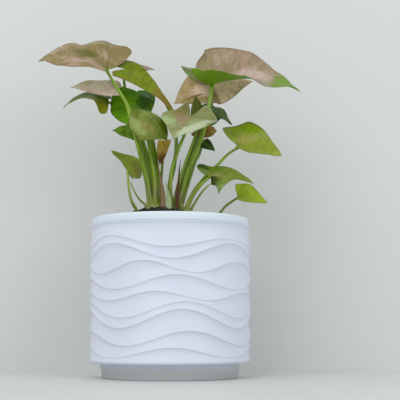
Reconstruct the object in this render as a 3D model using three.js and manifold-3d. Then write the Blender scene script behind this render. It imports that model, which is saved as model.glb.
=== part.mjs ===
// Potted syngonium: an arrowhead plant in a white planter with wavy ridges.
// Millimetres, +Z up, +X to the right seen from the front, the front is the -Y side.
// The origin is the centre of the planter's flat underside.

import * as THREE from 'three';
import { mergeVertices } from 'three/addons/utils/BufferGeometryUtils.js';
import Module from 'manifold-3d';

const wasm = await Module();
wasm.setup();

// Driving dimensions
const CLEARANCE = 0.3; // gap between pieces that touch
const PETIOLE_GAP = 0.6; // gap between a petiole's end and its leaf
const BLADE_THICKNESS = 0.7; // leaf blade, at its thinnest about 0.6

const PLANTER = {
  footHeight: 12.8,
  footRadiusBottom: 58.5,
  footRadiusTop: 60,
  bodyRadiusBottom: 68.6,
  bodyRadiusTop: 70.2,
  bodyTop: 129,
  edgeRounding: 2.4,
  bevel: 0.8, // at the top edge and round the foot
  wall: 4,
  lip: [0.6, 1], // bevel of the inner top edge, across and down
  floorTop: 17,
  floorCorner: [3, 4], // bevel where the floor meets the wall, across and up
  ridgeDepth: 1.3, // depth of a scoop where the ridges are ridgeSpacing apart
  ridgeSpacing: 13,
  ridgeDepthLimit: 1.5,
  ridgeSharpness: 0.62, // below 1 the scoop is deepest close under its crest
  segments: 64,
};

const LINER = {
  rimBottom: 129.3,
  rimTop: 136.2,
  rimRadius: 68,
  innerRadiusTop: 65.6,
  bodyRadiusTop: 63.8,
  bodyRadiusBottom: 54,
  rimBevel: 0.8,
  rimCorners: [[0, 1.6], [0.5, 0.5], [1.2, 0]], // round of the rim's top edge, in and down
  rimDip: 0.4, // fall of the rim's top towards its inner edge
  wall: 2,
  bottom: 19,
  bottomCorner: 2,
  drainHoles: 6,
  drainRadius: 4,
  drainCircle: 36,
  drainSides: 12,
  drillLength: 12,
  segments: 48,
};

const SOIL = {
  edgeHeight: 130, // level that the mound falls to
  moundHeight: 17.3,
  moundCentre: [-10, 0],
  moundSpread: 28,
  sideTop: 2, // how far the side starts below the liner's rim
  floorCorner: [4, 1.4], // bevel at the bottom, across and up
  floorGap: 0.7, // above the liner's floor
  drillLength: 60,
  segments: 48,
  rings: 7,
};

// Wavy ridges, from the top down: mean height, half height of the wave, waves round the pot,
// bearing of a high point in degrees from the front, and how much less the wave is on the right
const RIDGES = [
  { height: 112, swing: 4.5, waves: 4, high: 45, fade: 0.5 },
  { height: 104.7, swing: 6.7, waves: 4, high: 46, fade: 0 },
  { height: 91.6, swing: 5, waves: 5, high: -19, fade: 0 },
  { height: 79.3, swing: 5.6, waves: 4, high: 5, fade: 0 },
  { height: 68.1, swing: 3.6, waves: 5, high: -10, fade: 0 },
  { height: 56.9, swing: 6.5, waves: 4, high: 10, fade: 0 },
  { height: 49.7, swing: 7.6, waves: 4, high: 8, fade: 0 },
  { height: 33.9, swing: 6, waves: 4, high: 13, fade: 0 },
  { height: 22.4, swing: 4.2, waves: 4, high: 1, fade: 0 },
];
const RIDGE_FRACTIONS = [0, 0.16, 0.5]; // rows of the mesh within each scoop, from its crest down
const ROUND_SHARE = 0.3; // place of the middle row of a rounded corner

// A leaf blade, seen along its midrib from the joint to the tip with its upper side up.
// joint, tip: ends of the midrib. width: [left, right] half widths.
// roll: turn about the midrib, left side up. arch: rise of the midrib above its chord.
// droop: fall of the lobes behind the joint. lobe: [left, right] lobe length as a share of the
// midrib. left, right: fold of each half in degrees at the lobe, the joint, 0.35, 0.7 and the tip.
// curl: extra fold at the margins. wave: [height, waves, phase] of the margin.
// shape: [shoulder shift, fullness towards the tip, pointedness of the lobe] of each half, and
// if it isn't the usual, the half width of the sinus beside the lobe as a share.
const LEAF_DEFAULTS = {
  roll: 0,
  arch: 4,
  droop: 4,
  lobe: [0.3, 0.3],
  left: [0, 0, 0, 0, 0],
  right: [0, 0, 0, 0, 0],
  curl: [0, 0],
  wave: [0.8, 2, 0],
  shape: [[0, 1, 0], [0, 1, 0]],
  rows: 12,
  columns: 2,
  colour: 0x7fa03c,
};

const PINK = 0xc09d8c;
const GREEN = 0x7d9a3c;
const DARK_GREEN = 0x2f5a1c;

const LEAVES = {
  leaf_upper_left: {
    joint: [-58, 0, 271.5], tip: [-117, -14, 274], width: [26, 33], roll: -58, arch: 9, droop: -22,
    lobe: [-0.18, 0.42], left: [38, 38, 32, 18, 15], right: [10, 9, -17, -21, -12], curl: [-8, 0],
    wave: [1.6, 2.2, -0.08], shape: [[0.25, 0.6, 0], [0, 1.9, 0, 0.5]], rows: 16, columns: 3, colour: PINK,
  },
  leaf_arching_left: {
    joint: [-39.7, 5, 272], tip: [3, 4, 232.5], width: [14.5, 15.5], roll: 44, arch: 7, droop: 10,
    lobe: [0.3, 0.16], left: [32, 12, 8, 2, 0], right: [-10, 0, 0, 0, 0], curl: [-6, -10],
    shape: [[-0.18, 0.55, 0], [-0.05, 1.5, 0.4]], rows: 14, colour: 0x93991f,
  },
  leaf_rear_left: {
    joint: [-32, 26, 278], tip: [-15.5, 34, 280.5], width: [8, 4], roll: 50, arch: 1,
    lobe: [0.12, 0.12], wave: [0.3, 1, 0], rows: 10, colour: PINK,
  },
  leaf_side_left: {
    joint: [-49, 6, 255], tip: [-90, 0, 255], width: [17, 16], roll: -46, arch: 1.5,
    lobe: [0.1, 0.12], left: [10, 10, 0, 0, 0], right: [0, -4, -4, 0, 0], colour: 0xb8a090,
  },
  leaf_hooked_left: {
    joint: [-58, 14, 248.3], tip: [-97, 10, 238], width: [17, 13], roll: -18, arch: 7, droop: 0,
    lobe: [0.08, 0.1], left: [-68, -64, -14, 0, 0], right: [10, 10, 10, 0, 0],
    shape: [[0.1, 0.9, 0], [0, 1, 0]], rows: 14,
  },
  leaf_dark_left: {
    joint: [-31, 21, 256], tip: [-37, 9, 220], width: [18.5, 22], roll: -20, arch: 3,
    lobe: [0.12, 0.12], shape: [[0.25, 1.5, 0], [0.25, 1.5, 0]], colour: DARK_GREEN,
  },
  leaf_front_left: {
    joint: [-26, -10, 232], tip: [-3, -30, 201], width: [10, 22], roll: 25, droop: 0,
    lobe: [0.08, 0.08], left: [-14, -14, -14, -10, 0], right: [-20, -20, -20, -24, 0],
    shape: [[0.2, 1.5, 0], [0.35, 2, 2.5]],
  },
  leaf_small_left: {
    joint: [-33, 2, 214], tip: [-52, -3, 215], width: [10, 10], roll: -55, arch: 1,
    lobe: [0.12, 0.12], rows: 10,
    colour: 0x4d7a24,
  },
  leaf_low_left: {
    joint: [-37, -22, 176], tip: [-51, -26, 193], width: [16, 16], roll: 38, arch: 2,
    lobe: [0.5, 0.1], right: [60, 55, 50, 40, 20], shape: [[-0.1, 1, -0.6], [-0.1, 1, -0.6]],
  },
  leaf_front_centre: {
    joint: [16, -14, 226], tip: [2, -46, 199], width: [26, 23.5], roll: -15, arch: 3, droop: -10,
    shape: [[0, 1, 0.5, 0.2], [0, 1, 1.5, 0.1]], rows: 14, columns: 3, colour: 0xa3ac80,
  },
  leaf_upright_centre: {
    joint: [24.3, -1.5, 225], tip: [22.1, -0.5, 247.8], width: [6.5, 6], roll: -66, arch: 0,
    lobe: [0.1, 0.1], shape: [[0.1, 1.2, 0], [0.1, 1.2, 0]], rows: 8, colour: 0x5a5a18,
  },
  leaf_rear_centre: {
    joint: [37, 14, 255], tip: [2, 8, 242], width: [15, 28], roll: -60, arch: 3,
    lobe: [0.1, 0.1], rows: 14, columns: 3, colour: 0xb0966e,
  },
  leaf_rear_right: {
    joint: [39, 23.5, 257], tip: [76, 31, 269], width: [20, 20], roll: 46, arch: 3,
    lobe: [0.1, 0.1], colour: PINK,
  },
  leaf_upper_right: {
    joint: [37, 1, 259], tip: [115, -6, 251], width: [41, 30], roll: 20, arch: 8, droop: -21,
    lobe: [0.31, 0.43], left: [60, 47, 37, 22, 10], right: [68, 29, 12, -18, 20],
    shape: [[0, 1.3, 0], [0, 1.3, 1.5]], rows: 16, columns: 3, colour: PINK,
  },
  leaf_dark_right: {
    joint: [37, 28, 241], tip: [56, 24, 226], width: [13, 12], roll: 30, arch: 2,
    right: [-20, -20, -10, 0, 0], rows: 10, colour: DARK_GREEN,
  },
  leaf_dark_rear: {
    joint: [32, 37.5, 238], tip: [52, 43.5, 242], width: [13, 13], roll: 58, arch: 2, rows: 10,
    colour: DARK_GREEN,
  },
  leaf_brown: {
    joint: [22, 7, 217], tip: [41, 5, 217], width: [6, 6], roll: 75, arch: 0, droop: 0,
    lobe: [0.2, 0.2], shape: [[0.1, 2.5, 0], [0.1, 2.5, 0]], rows: 8, colour: 0x8a6a3a,
  },
  leaf_curled: {
    joint: [29, 8, 207], tip: [39.5, 5.5, 198.5], width: [6, 6], roll: 60, arch: 0.5,
    lobe: [0.12, 0.12], wave: [0.1, 1, 0], rows: 6, colour: DARK_GREEN,
  },
  leaf_side_right: {
    joint: [62, 4, 203], tip: [98, -4, 193], width: [29, 15], roll: 58, arch: 0, droop: -6,
    lobe: [0.5, 0.08], left: [-14, 4, 4, 0, 0], right: [60, 44, 36, 30, 10],
    shape: [[-0.1, 1.3, 0.3, 0.12], [0, 1, 0]], rows: 14, columns: 3,
  },
  leaf_hooked_right: {
    joint: [34, -18, 173], tip: [71, -24, 165], width: [14, 16], roll: 44, arch: 2.5, droop: -4,
    lobe: [0.38, 0], left: [20, 0, 0, 0, 0], right: [-120, -115, -30, 0, 0],
    shape: [[0, 1.6, 0, 0.12], [-0.03, 0.14, 0]], rows: 14,
  },
  leaf_low_right: {
    joint: [60, 2, 157], tip: [85, -4, 151], width: [16.5, 10], roll: 55, arch: 1, droop: -5,
    lobe: [0.2, 0.12], right: [60, 40, 30, 10, 0], rows: 12, colour: 0x98a832,
  },
  leaf_withered: {
    joint: [-6, 10, 208], tip: [-10, 4, 185], width: [7.5, 7.5], arch: 0, lobe: [0.1, 0.1],
    rows: 8, colour: 0xb5662e,
  },
};

// Shoots: base centre and radius in the soil, and the petioles that grow from it, each with the
// leaf that it carries, its radii at the soil and at the leaf, and its route above the soil.
// end: place of its end where a folded leaf leaves no room at its own joint.
const SHOOTS = {
  shoot_left: {
    centre: [-14, 1.5], radius: 9.2,
    petioles: [
      { leaf: 'leaf_upper_left', radii: [2.6, 1.3], route: [[-17.5, -5, 144.5], [-20.5, -8, 167.5],
        [-25.5, -10, 187.5], [-32.5, -8, 214], [-39.5, -7.5, 238.5], [-47, -9, 251], [-54, -7, 263]] },
      { leaf: 'leaf_arching_left', radii: [2.4, 1.2], route: [[-12, 5, 146.5], [-13.5, 6, 172.5],
        [-18, 14, 205], [-28, 28, 231], [-36, 34, 248], [-42, 33, 260], [-43, 20, 269]] },
      { leaf: 'leaf_side_left', radii: [2.3, 1.2], route: [[-16, 0, 146], [-18.5, -2, 167],
        [-22, -3, 189], [-29.5, -2, 217.5], [-38.5, 2, 239.5], [-45, 5, 249]] },
      { leaf: 'leaf_hooked_left', end: [-57.6, 16.8, 245.4], radii: [2.3, 1.2],
        route: [[-15, 3, 146], [-17, 3, 172.5], [-22.5, 8, 200], [-31, 20, 222],
        [-43, 25, 238], [-54, 21, 245]] },
      { leaf: 'leaf_dark_left', radii: [2.3, 1.2], route: [[-10.5, 3, 146], [-11, 8, 172.5],
        [-14.5, 14, 200], [-20, 20, 228], [-27, 23.5, 248]] },
      { leaf: 'leaf_front_left', radii: [2.3, 1.2], route: [[-13.5, -6, 145], [-14.5, -9, 170],
        [-18.5, -10, 196.5], [-24, -9, 223.5]] },
      { leaf: 'leaf_small_left', end: [-31.2, 4.4, 212], radii: [1.9, 1],
        route: [[-19, 1, 146], [-21.5, 0, 169], [-24.5, 0, 187.5], [-27.5, 2.5, 203]] },
      { leaf: 'leaf_withered', radii: [1.8, 1], route: [[-9, 8, 147], [-8.5, 10, 173],
        [-7, 15, 194], [-5.5, 14, 204.5]] },
    ],
  },
  shoot_right: {
    centre: [4.5, 4.5], radius: 8.8,
    petioles: [
      { leaf: 'leaf_front_centre', radii: [2.6, 1.2], route: [[-0.5, -4, 145.5], [-0.5, -5, 162],
        [1.5, -7, 181], [7, -9, 198.5], [13, -12, 213]] },
      { leaf: 'leaf_upright_centre', end: [24.2, -0.9, 223.4], radii: [1.8, 0.9],
        route: [[2.5, -3, 145.5], [6, -3, 165], [13, -4, 187], [21, -1.5, 210]] },
      { leaf: 'leaf_upper_right', radii: [3.4, 1.7], route: [[5.5, 2, 146], [10, 2, 163],
        [15.5, 2, 181], [22, 2, 197], [28.5, 1, 215], [33.5, 1, 237], [36, 1, 251.5]] },
      { leaf: 'leaf_rear_centre', radii: [2.3, 1.2], route: [[3, 7, 146.5], [7, 8, 164],
        [12.5, 9, 182], [19, 10, 200.5], [26, 12, 219], [33.5, 13, 239.5]] },
      { leaf: 'leaf_rear_right', radii: [2.3, 1.2], route: [[6.5, 9, 147], [11.5, 11, 164.5],
        [17.5, 13, 182.5], [24.5, 16.5, 201.5], [31, 15, 225], [37, 19, 244]] },
      { leaf: 'leaf_rear_left', radii: [2.6, 1.1], route: [[-2, 8, 147], [-1.5, 13, 164.5],
        [3, 18, 188], [5, 24, 211], [1, 28, 234], [-8.5, 30, 253.5], [-21, 30, 268.5]] },
      { leaf: 'leaf_dark_right', end: [36.7, 29.3, 239.3], radii: [2.3, 1.2],
        route: [[9, 8, 147.5], [13.5, 14, 165], [21, 20, 188.5], [29, 25, 213.5],
        [35.5, 28, 232.5]] },
      { leaf: 'leaf_dark_rear', end: [30.9, 39.5, 236.1], radii: [1.8, 1],
        route: [[7, 11, 147], [12, 18, 168], [19, 28, 195], [26, 39, 220], [30.5, 42, 231]] },
      { leaf: 'leaf_brown', radii: [1.8, 1], route: [[8, 3, 146.5], [14.5, 5, 168], [19.5, 6, 189],
        [22.5, 6, 204.5]] },
      { leaf: 'leaf_curled', end: [28.1, 9.8, 205.4], radii: [1.8, 0.9],
        route: [[9, 4, 146.5], [15.5, 4, 168], [22, 8, 189], [26, 11, 197]] },
    ],
  },
  shoot_front_right: {
    centre: [14.5, -6], radius: 4.4,
    petioles: [
      { leaf: 'leaf_side_right', radii: [2.2, 1.1], route: [[12.5, -4, 144.5], [20.5, -2, 161],
        [30, 0, 173.5], [41, 2, 185], [51.5, 3, 196]] },
      { leaf: 'leaf_hooked_right', end: [33, -15.8, 171.6], radii: [2, 1.1],
        route: [[14, -8, 143.5], [18.5, -10, 154.5], [25.5, -14, 164.5]] },
      { leaf: null, radii: [1.4, 0.7], route: [[17, -6, 143.5], [23, -8, 153.5], [29, -12, 161.5],
        [34, -14, 166]] },
    ],
  },
  stalk_low_left: {
    centre: [-29, -18], radius: 2,
    petioles: [
      { leaf: 'leaf_low_left', radii: [1.5, 1], route: [[-30, -20, 141], [-33.5, -22, 150],
        [-35.5, -23, 159.5], [-36.5, -23, 168]] },
    ],
  },
  stalk_thin_left: {
    centre: [-20, -10.5], radius: 1.9,
    petioles: [
      { leaf: null, radii: [1.2, 0.6], route: [[-21.5, -12, 142.5], [-27, -14, 152.5],
        [-32, -16, 160.5], [-34.5, -17, 167]] },
    ],
  },
  stalk_low_right: {
    centre: [38, 9], radius: 2,
    petioles: [
      { leaf: 'leaf_low_right', radii: [1.4, 1], route: [[41, 8, 142.5], [48, 6, 148.5],
        [54, 4, 153]] },
    ],
  },
};
const SHOOT = {
  bottom: 122, // lower end of every shoot in the soil
  sides: 6, // sides of a petiole
  stations: 9, // rings along a petiole
  baseSides: 14,
  collarSlope: 1.125, // height of the sheathed taper above the soil, as a share of its radius
  collarTop: 0.55, // radius at the top of the taper, as a share of the radius in the soil
  rootRise: 8, // height of a petiole's hidden start above the bottom
  soilRise: 0.5, // height of its first route point above the soil
  edgeMargin: 0.4, // wall left outside a petiole within the base
};

const DEGREE = Math.PI / 180;

function leafNamed(name) {
  return { ...LEAF_DEFAULTS, ...LEAVES[name] };
}

// General mesh helpers

function buildGeometry(positions, triangles) {
  const geometry = new THREE.BufferGeometry();
  geometry.setAttribute('position', new THREE.Float32BufferAttribute(positions, 3));
  geometry.setIndex(triangles);
  return geometry;
}

// Joins vertices that lie in one place and drops the triangles that this empties.
function weld(points, triangles) {
  const places = new Map();
  const kept = [];
  const renumber = points.map((point) => {
    const key = point.toArray().map((value) => Math.round(value * 1e4)).join();
    if (!places.has(key)) {
      places.set(key, kept.length);
      kept.push(point);
    }
    return places.get(key);
  });
  const faces = triangles
    .map((face) => face.map((index) => renumber[index]))
    .filter(([a, b, c]) => a !== b && b !== c && c !== a);
  return { points: kept, triangles: faces };
}

// Gives an open surface a thickness: the same triangles on both faces, joined round the margin.
function thicken({ points, triangles }, thickness) {
  const normals = points.map(() => new THREE.Vector3());
  for (const [a, b, c] of triangles) {
    const normal = points[b].clone().sub(points[a]).cross(points[c].clone().sub(points[a]));
    for (const index of [a, b, c]) normals[index].add(normal);
  }
  normals.forEach((normal) => normal.normalize().multiplyScalar(thickness / 2));
  const count = points.length;
  const positions = [];
  points.forEach((point, index) => positions.push(...point.clone().add(normals[index]).toArray()));
  points.forEach((point, index) => positions.push(...point.clone().sub(normals[index]).toArray()));
  const faces = [];
  const edges = new Map();
  for (const [a, b, c] of triangles) {
    faces.push(a, b, c, c + count, b + count, a + count);
    for (const [from, to] of [[a, b], [b, c], [c, a]]) edges.set(`${from},${to}`, [from, to]);
  }
  for (const [from, to] of edges.values()) {
    if (edges.has(`${to},${from}`)) continue;
    faces.push(from, from + count, to, to, from + count, to + count);
  }
  return buildGeometry(positions, faces);
}

function toManifold(geometry) {
  const bare = geometry.clone();
  for (const name of ['normal', 'uv']) {
    if (bare.getAttribute(name)) bare.deleteAttribute(name);
  }
  const merged = mergeVertices(bare, 1e-4);
  const mesh = new wasm.Mesh({
    numProp: 3,
    vertProperties: new Float32Array(merged.getAttribute('position').array),
    triVerts: new Uint32Array(merged.getIndex().array),
  });
  return new wasm.Manifold(mesh);
}

function fromManifold(solid) {
  const mesh = solid.getMesh();
  return buildGeometry(Array.from(mesh.vertProperties), Array.from(mesh.triVerts));
}

function unite(geometries) {
  return geometries.map(toManifold).reduce((sum, solid) => sum.add(solid));
}

// Leaf blades

// Knots along the margin of half a blade, from the sinus round the lobe to the tip
const MARGIN_KNOTS = [0, 0.08, 0.17, 0.27, 0.38, 0.5, 0.64, 0.8, 0.93, 1];
const JOINT_KNOT = 0.36; // margin place whose vein still starts at the joint
const VEIN_EASE = 1.1; // above 1 the veins start closer to the joint
const SHORTEST_REACH = 0.2; // lobe length, as a share of the midrib, that the droop counts on
const RIPPLE_FADE = 5; // how fast the wave of the margin dies away towards the tip
const FOLD_KNOTS = [-0.35, 0, 0.35, 0.7, 1];

// Margin points as [share of the midrib, share of the half width].
function marginPoints(lobe, [shoulder, fullness, pointed, sinus = 0.2 + 0.12 * pointed]) {
  return [
    [-0.02, 0.04],
    [-0.55 * lobe, sinus],
    [-(0.97 + 0.03 * pointed) * lobe, 0.48 - 0.14 * pointed],
    [-(0.8 - 0.25 * pointed) * lobe, 0.8 - 0.1 * pointed],
    [-0.02 + 0.9 * shoulder, 0.98],
    [0.24 + shoulder, 0.95],
    [0.5 + 0.8 * shoulder, 0.69 * fullness ** 0.5],
    [0.76 + 0.4 * shoulder, 0.33 * fullness],
    [0.93, 0.09 * fullness ** 1.3],
    [1, 0],
  ];
}

// Value of a smooth curve through points at uneven knots.
function hermite(knots, values, place) {
  const last = knots.length - 1;
  let i = 0;
  while (i < last - 1 && place >= knots[i + 1]) i += 1;
  const slope = (k) => {
    const before = Math.max(k - 1, 0);
    const after = Math.min(k + 1, last);
    return (values[after] - values[before]) / (knots[after] - knots[before]);
  };
  const step = knots[i + 1] - knots[i];
  const x = (place - knots[i]) / step;
  return (2 * x ** 3 - 3 * x ** 2 + 1) * values[i] + (x ** 3 - 2 * x ** 2 + x) * step * slope(i)
    + (3 * x ** 2 - 2 * x ** 3) * values[i + 1] + (x ** 3 - x ** 2) * step * slope(i + 1);
}

// Value eased from knot to knot, level at each knot.
function eased(knots, values, place) {
  const last = knots.length - 1;
  const held = Math.min(Math.max(place, knots[0]), knots[last]);
  let i = 0;
  while (i < last - 1 && held >= knots[i + 1]) i += 1;
  const x = (held - knots[i]) / (knots[i + 1] - knots[i]);
  const blend = x * x * (3 - 2 * x);
  return values[i] * (1 - blend) + values[i + 1] * blend;
}

// Axes of a blade at its joint: along the midrib, to the left, and up.
function leafAxes(leaf) {
  const joint = new THREE.Vector3(...leaf.joint);
  const along = new THREE.Vector3(...leaf.tip).sub(joint);
  const length = along.length();
  along.normalize();
  const up = new THREE.Vector3(0, 0, 1).addScaledVector(along, -along.z).normalize();
  const left = up.clone().cross(along);
  const roll = new THREE.Matrix4().makeRotationAxis(along, leaf.roll * DEGREE);
  left.applyMatrix4(roll);
  up.applyMatrix4(roll);
  return { joint, along, left, up, length };
}

// Point of a blade: round is the place on the margin (0 sinus, 1 tip), across runs from -1 at the
// right margin through 0 at the midrib to 1 at the left margin.
function bladePoint(leaf, axes, round, across) {
  const side = across >= 0 ? 1 : -1;
  const half = side > 0 ? 0 : 1;
  const out = Math.abs(across);
  const margin = marginPoints(leaf.lobe[half], leaf.shape[half]);
  const start = Math.max((round - JOINT_KNOT) / (1 - JOINT_KNOT), 0) ** VEIN_EASE;
  const marginAlong = hermite(MARGIN_KNOTS, margin.map((point) => point[0]), round);
  const marginOut = hermite(MARGIN_KNOTS, margin.map((point) => point[1]), round);
  const place = (1 - out) * start + out * marginAlong;
  const distance = out * marginOut * leaf.width[half];

  const lobeReach = Math.max(...leaf.lobe, SHORTEST_REACH);
  const rise = place >= 0 ? 4 * place * (1 - place) : 4 * place;
  const riseSlope = place >= 0 ? 4 * (1 - 2 * place) : 4;
  const fall = place < 0 ? leaf.droop * (place / lobeReach) ** 2 : 0;
  const fallSlope = place < 0 ? 2 * leaf.droop * place / lobeReach ** 2 : 0;
  const centre = axes.joint.clone()
    .addScaledVector(axes.along, place * axes.length)
    .addScaledVector(axes.up, leaf.arch * rise - fall);
  const forward = axes.along.clone()
    .addScaledVector(axes.up, (leaf.arch * riseSlope - fallSlope) / axes.length)
    .normalize();
  const left = axes.left;
  const up = forward.clone().cross(left);

  const fold = eased(FOLD_KNOTS, side > 0 ? leaf.left : leaf.right, place) * DEGREE;
  const bend = (leaf.curl[half] * DEGREE || 1e-5) / leaf.width[half];
  const outwards = (Math.sin(fold + bend * distance) - Math.sin(fold)) / bend;
  const [height, waves, phase] = leaf.wave;
  const ripple = height * across ** 2 * Math.min((1 - round) * RIPPLE_FADE, 1)
    * Math.sin(2 * Math.PI * (waves * round + phase + 0.25 * side));
  const upwards = (Math.cos(fold) - Math.cos(fold + bend * distance)) / bend + ripple;
  return centre.addScaledVector(left, side * outwards).addScaledVector(up, upwards);
}

function bladeGeometry(leaf) {
  const axes = leafAxes(leaf);
  const points = [];
  const triangles = [];
  const wide = 2 * leaf.columns + 1;
  for (let i = 0; i <= leaf.rows; i += 1) {
    for (let j = -leaf.columns; j <= leaf.columns; j += 1) {
      points.push(bladePoint(leaf, axes, i / leaf.rows, j / leaf.columns));
    }
  }
  for (let i = 0; i < leaf.rows; i += 1) {
    for (let j = 0; j < wide - 1; j += 1) {
      const corner = i * wide + j;
      const [a, b, c, d] = [corner, corner + wide, corner + wide + 1, corner + 1];
      if (j < leaf.columns) triangles.push([a, b, c], [a, c, d]);
      else triangles.push([a, b, d], [b, c, d]);
    }
  }
  return thicken(weld(points, triangles), BLADE_THICKNESS);
}

// Shoots and petioles

// Round bar of changing radius along a smooth route.
function barGeometry(route, radii, sides, stations) {
  const curve = new THREE.CatmullRomCurve3(route, false, 'centripetal');
  const frames = curve.computeFrenetFrames(stations, false);
  const positions = [];
  for (let i = 0; i <= stations; i += 1) {
    const share = i / stations;
    const radius = radii[0] + (radii[1] - radii[0]) * share;
    const centre = curve.getPointAt(share);
    for (let k = 0; k < sides; k += 1) {
      const angle = 2 * Math.PI * k / sides;
      positions.push(...centre.clone()
        .addScaledVector(frames.normals[i], radius * Math.cos(angle))
        .addScaledVector(frames.binormals[i], radius * Math.sin(angle)).toArray());
    }
  }
  positions.push(...route[0].toArray(), ...route[route.length - 1].toArray());
  const bottom = (stations + 1) * sides;
  const faces = [];
  for (let k = 0; k < sides; k += 1) {
    const next = (k + 1) % sides;
    for (let i = 0; i < stations; i += 1) {
      const [a, b] = [i * sides + k, i * sides + next];
      faces.push(a, b, b + sides, a, b + sides, a + sides);
    }
    faces.push(bottom, next, k);
    faces.push(bottom + 1, stations * sides + k, stations * sides + next);
  }
  return buildGeometry(positions, faces);
}

// Place where a petiole ends, just clear of the underside of its leaf.
function petioleEnd(petiole) {
  const { joint, up } = leafAxes(leafNamed(petiole.leaf));
  const last = new THREE.Vector3(...petiole.route[petiole.route.length - 1]);
  const lean = joint.clone().sub(last).normalize().cross(up).length();
  return joint.addScaledVector(up, -(BLADE_THICKNESS / 2 + PETIOLE_GAP + petiole.radii[1] * lean));
}

// Route of a petiole, from inside the shoot's base to the leaf that it carries.
function petioleRoute(shoot, petiole) {
  const [x, y] = shoot.centre;
  const route = petiole.route.map((point) => new THREE.Vector3(...point));
  const first = route[0];
  const start = new THREE.Vector3(first.x - x, first.y - y, 0);
  start.clampLength(0, shoot.radius - petiole.radii[0] - SHOOT.edgeMargin);
  first.set(x + start.x, y + start.y, soilHeight(x, y) + SHOOT.soilRise);
  route.unshift(
    new THREE.Vector3(x + start.x / 2, y + start.y / 2, SHOOT.bottom + SHOOT.rootRise),
  );
  if (petiole.end) route.push(new THREE.Vector3(...petiole.end));
  else if (petiole.leaf) route.push(petioleEnd(petiole));
  return route;
}

function shootGeometry(shoot) {
  const [x, y] = shoot.centre;
  const soilTop = soilHeight(x, y);
  const collarTop = soilTop + SHOOT.collarSlope * shoot.radius;
  const baseProfile = [
    new THREE.Vector2(0, SHOOT.bottom),
    new THREE.Vector2(shoot.radius, SHOOT.bottom),
    new THREE.Vector2(shoot.radius, soilTop),
    new THREE.Vector2(shoot.radius * SHOOT.collarTop, collarTop),
    new THREE.Vector2(0, collarTop),
  ];
  const base = new THREE.LatheGeometry(baseProfile, SHOOT.baseSides);
  base.rotateX(Math.PI / 2);
  base.translate(x, y, 0);
  const bars = shoot.petioles.map((petiole) => barGeometry(
    petioleRoute(shoot, petiole), petiole.radii, SHOOT.sides, SHOOT.stations,
  ));
  return fromManifold(unite([base, ...bars]));
}

// Pot, liner and soil

function ridgeHeight(ridge, bearing) {
  const swing = ridge.swing * (1 - ridge.fade * Math.sin(bearing));
  return ridge.height + swing * Math.cos(ridge.waves * (bearing - ridge.high * DEGREE));
}

// Depth of the scoop below a crest: sharp at the crest, then slowly out to the next one.
function scoopDepth(share, spacing) {
  const full = PLANTER.ridgeDepth * spacing / PLANTER.ridgeSpacing;
  return Math.min(full, PLANTER.ridgeDepthLimit) * Math.sin(Math.PI * share ** PLANTER.ridgeSharpness);
}

function bodyRadius(height) {
  const share = height / PLANTER.bodyTop;
  return PLANTER.bodyRadiusBottom + (PLANTER.bodyRadiusTop - PLANTER.bodyRadiusBottom) * share;
}

// Outer wall rows at one bearing, from the top edge down to the foot, as [radius, height].
function planterProfile(bearing) {
  const { bevel, edgeRounding: rounding, bodyTop: top, footHeight: bottom } = PLANTER;
  const crests = RIDGES.map((ridge) => ridgeHeight(ridge, bearing));
  const levels = [top - bevel, ...crests, bottom + rounding];
  const rows = [[bodyRadius(top) - bevel, top]];
  for (let k = 0; k < levels.length - 1; k += 1) {
    const spacing = levels[k] - levels[k + 1];
    for (const share of RIDGE_FRACTIONS) {
      const height = levels[k] - share * spacing;
      rows.push([bodyRadius(height) - scoopDepth(share, spacing), height]);
    }
  }
  rows.push([bodyRadius(bottom), bottom + rounding]);
  rows.push([bodyRadius(bottom) - ROUND_SHARE * rounding, bottom + ROUND_SHARE * rounding]);
  rows.push([bodyRadius(bottom) - rounding, bottom]);
  rows.push([PLANTER.footRadiusTop, bottom]);
  rows.push([PLANTER.footRadiusBottom, bevel]);
  rows.push([PLANTER.footRadiusBottom - bevel, 0]);
  return rows;
}

// Closed ring of rows round the Z axis; the first and the last row are closed by a point each.
function revolveRows(rowsAt, segments, firstHeight, lastHeight) {
  const positions = [];
  let count = 0;
  for (let k = 0; k < segments; k += 1) {
    const bearing = 2 * Math.PI * k / segments;
    const rows = rowsAt(bearing);
    count = rows.length;
    for (const [radius, height] of rows) {
      positions.push(radius * Math.sin(bearing), -radius * Math.cos(bearing), height);
    }
  }
  const first = segments * count;
  positions.push(0, 0, firstHeight, 0, 0, lastHeight);
  const faces = [];
  for (let k = 0; k < segments; k += 1) {
    const here = k * count;
    const next = ((k + 1) % segments) * count;
    for (let i = 0; i < count - 1; i += 1) {
      faces.push(here + i, here + i + 1, next + i + 1, here + i, next + i + 1, next + i);
    }
    faces.push(first, here, next);
    faces.push(first + 1, next + count - 1, here + count - 1);
  }
  return buildGeometry(positions, faces);
}

function planterGeometry() {
  const { floorTop, bodyTop, floorCorner, lip } = PLANTER;
  const inner = bodyRadius(bodyTop) - PLANTER.wall;
  const innerRows = [
    [inner - floorCorner[0], floorTop],
    [inner, floorTop + floorCorner[1]],
    [inner, bodyTop - lip[1]],
    [inner + lip[0], bodyTop],
  ];
  return revolveRows(
    (bearing) => [...innerRows, ...planterProfile(bearing)],
    PLANTER.segments, floorTop, 0,
  );
}

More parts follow.
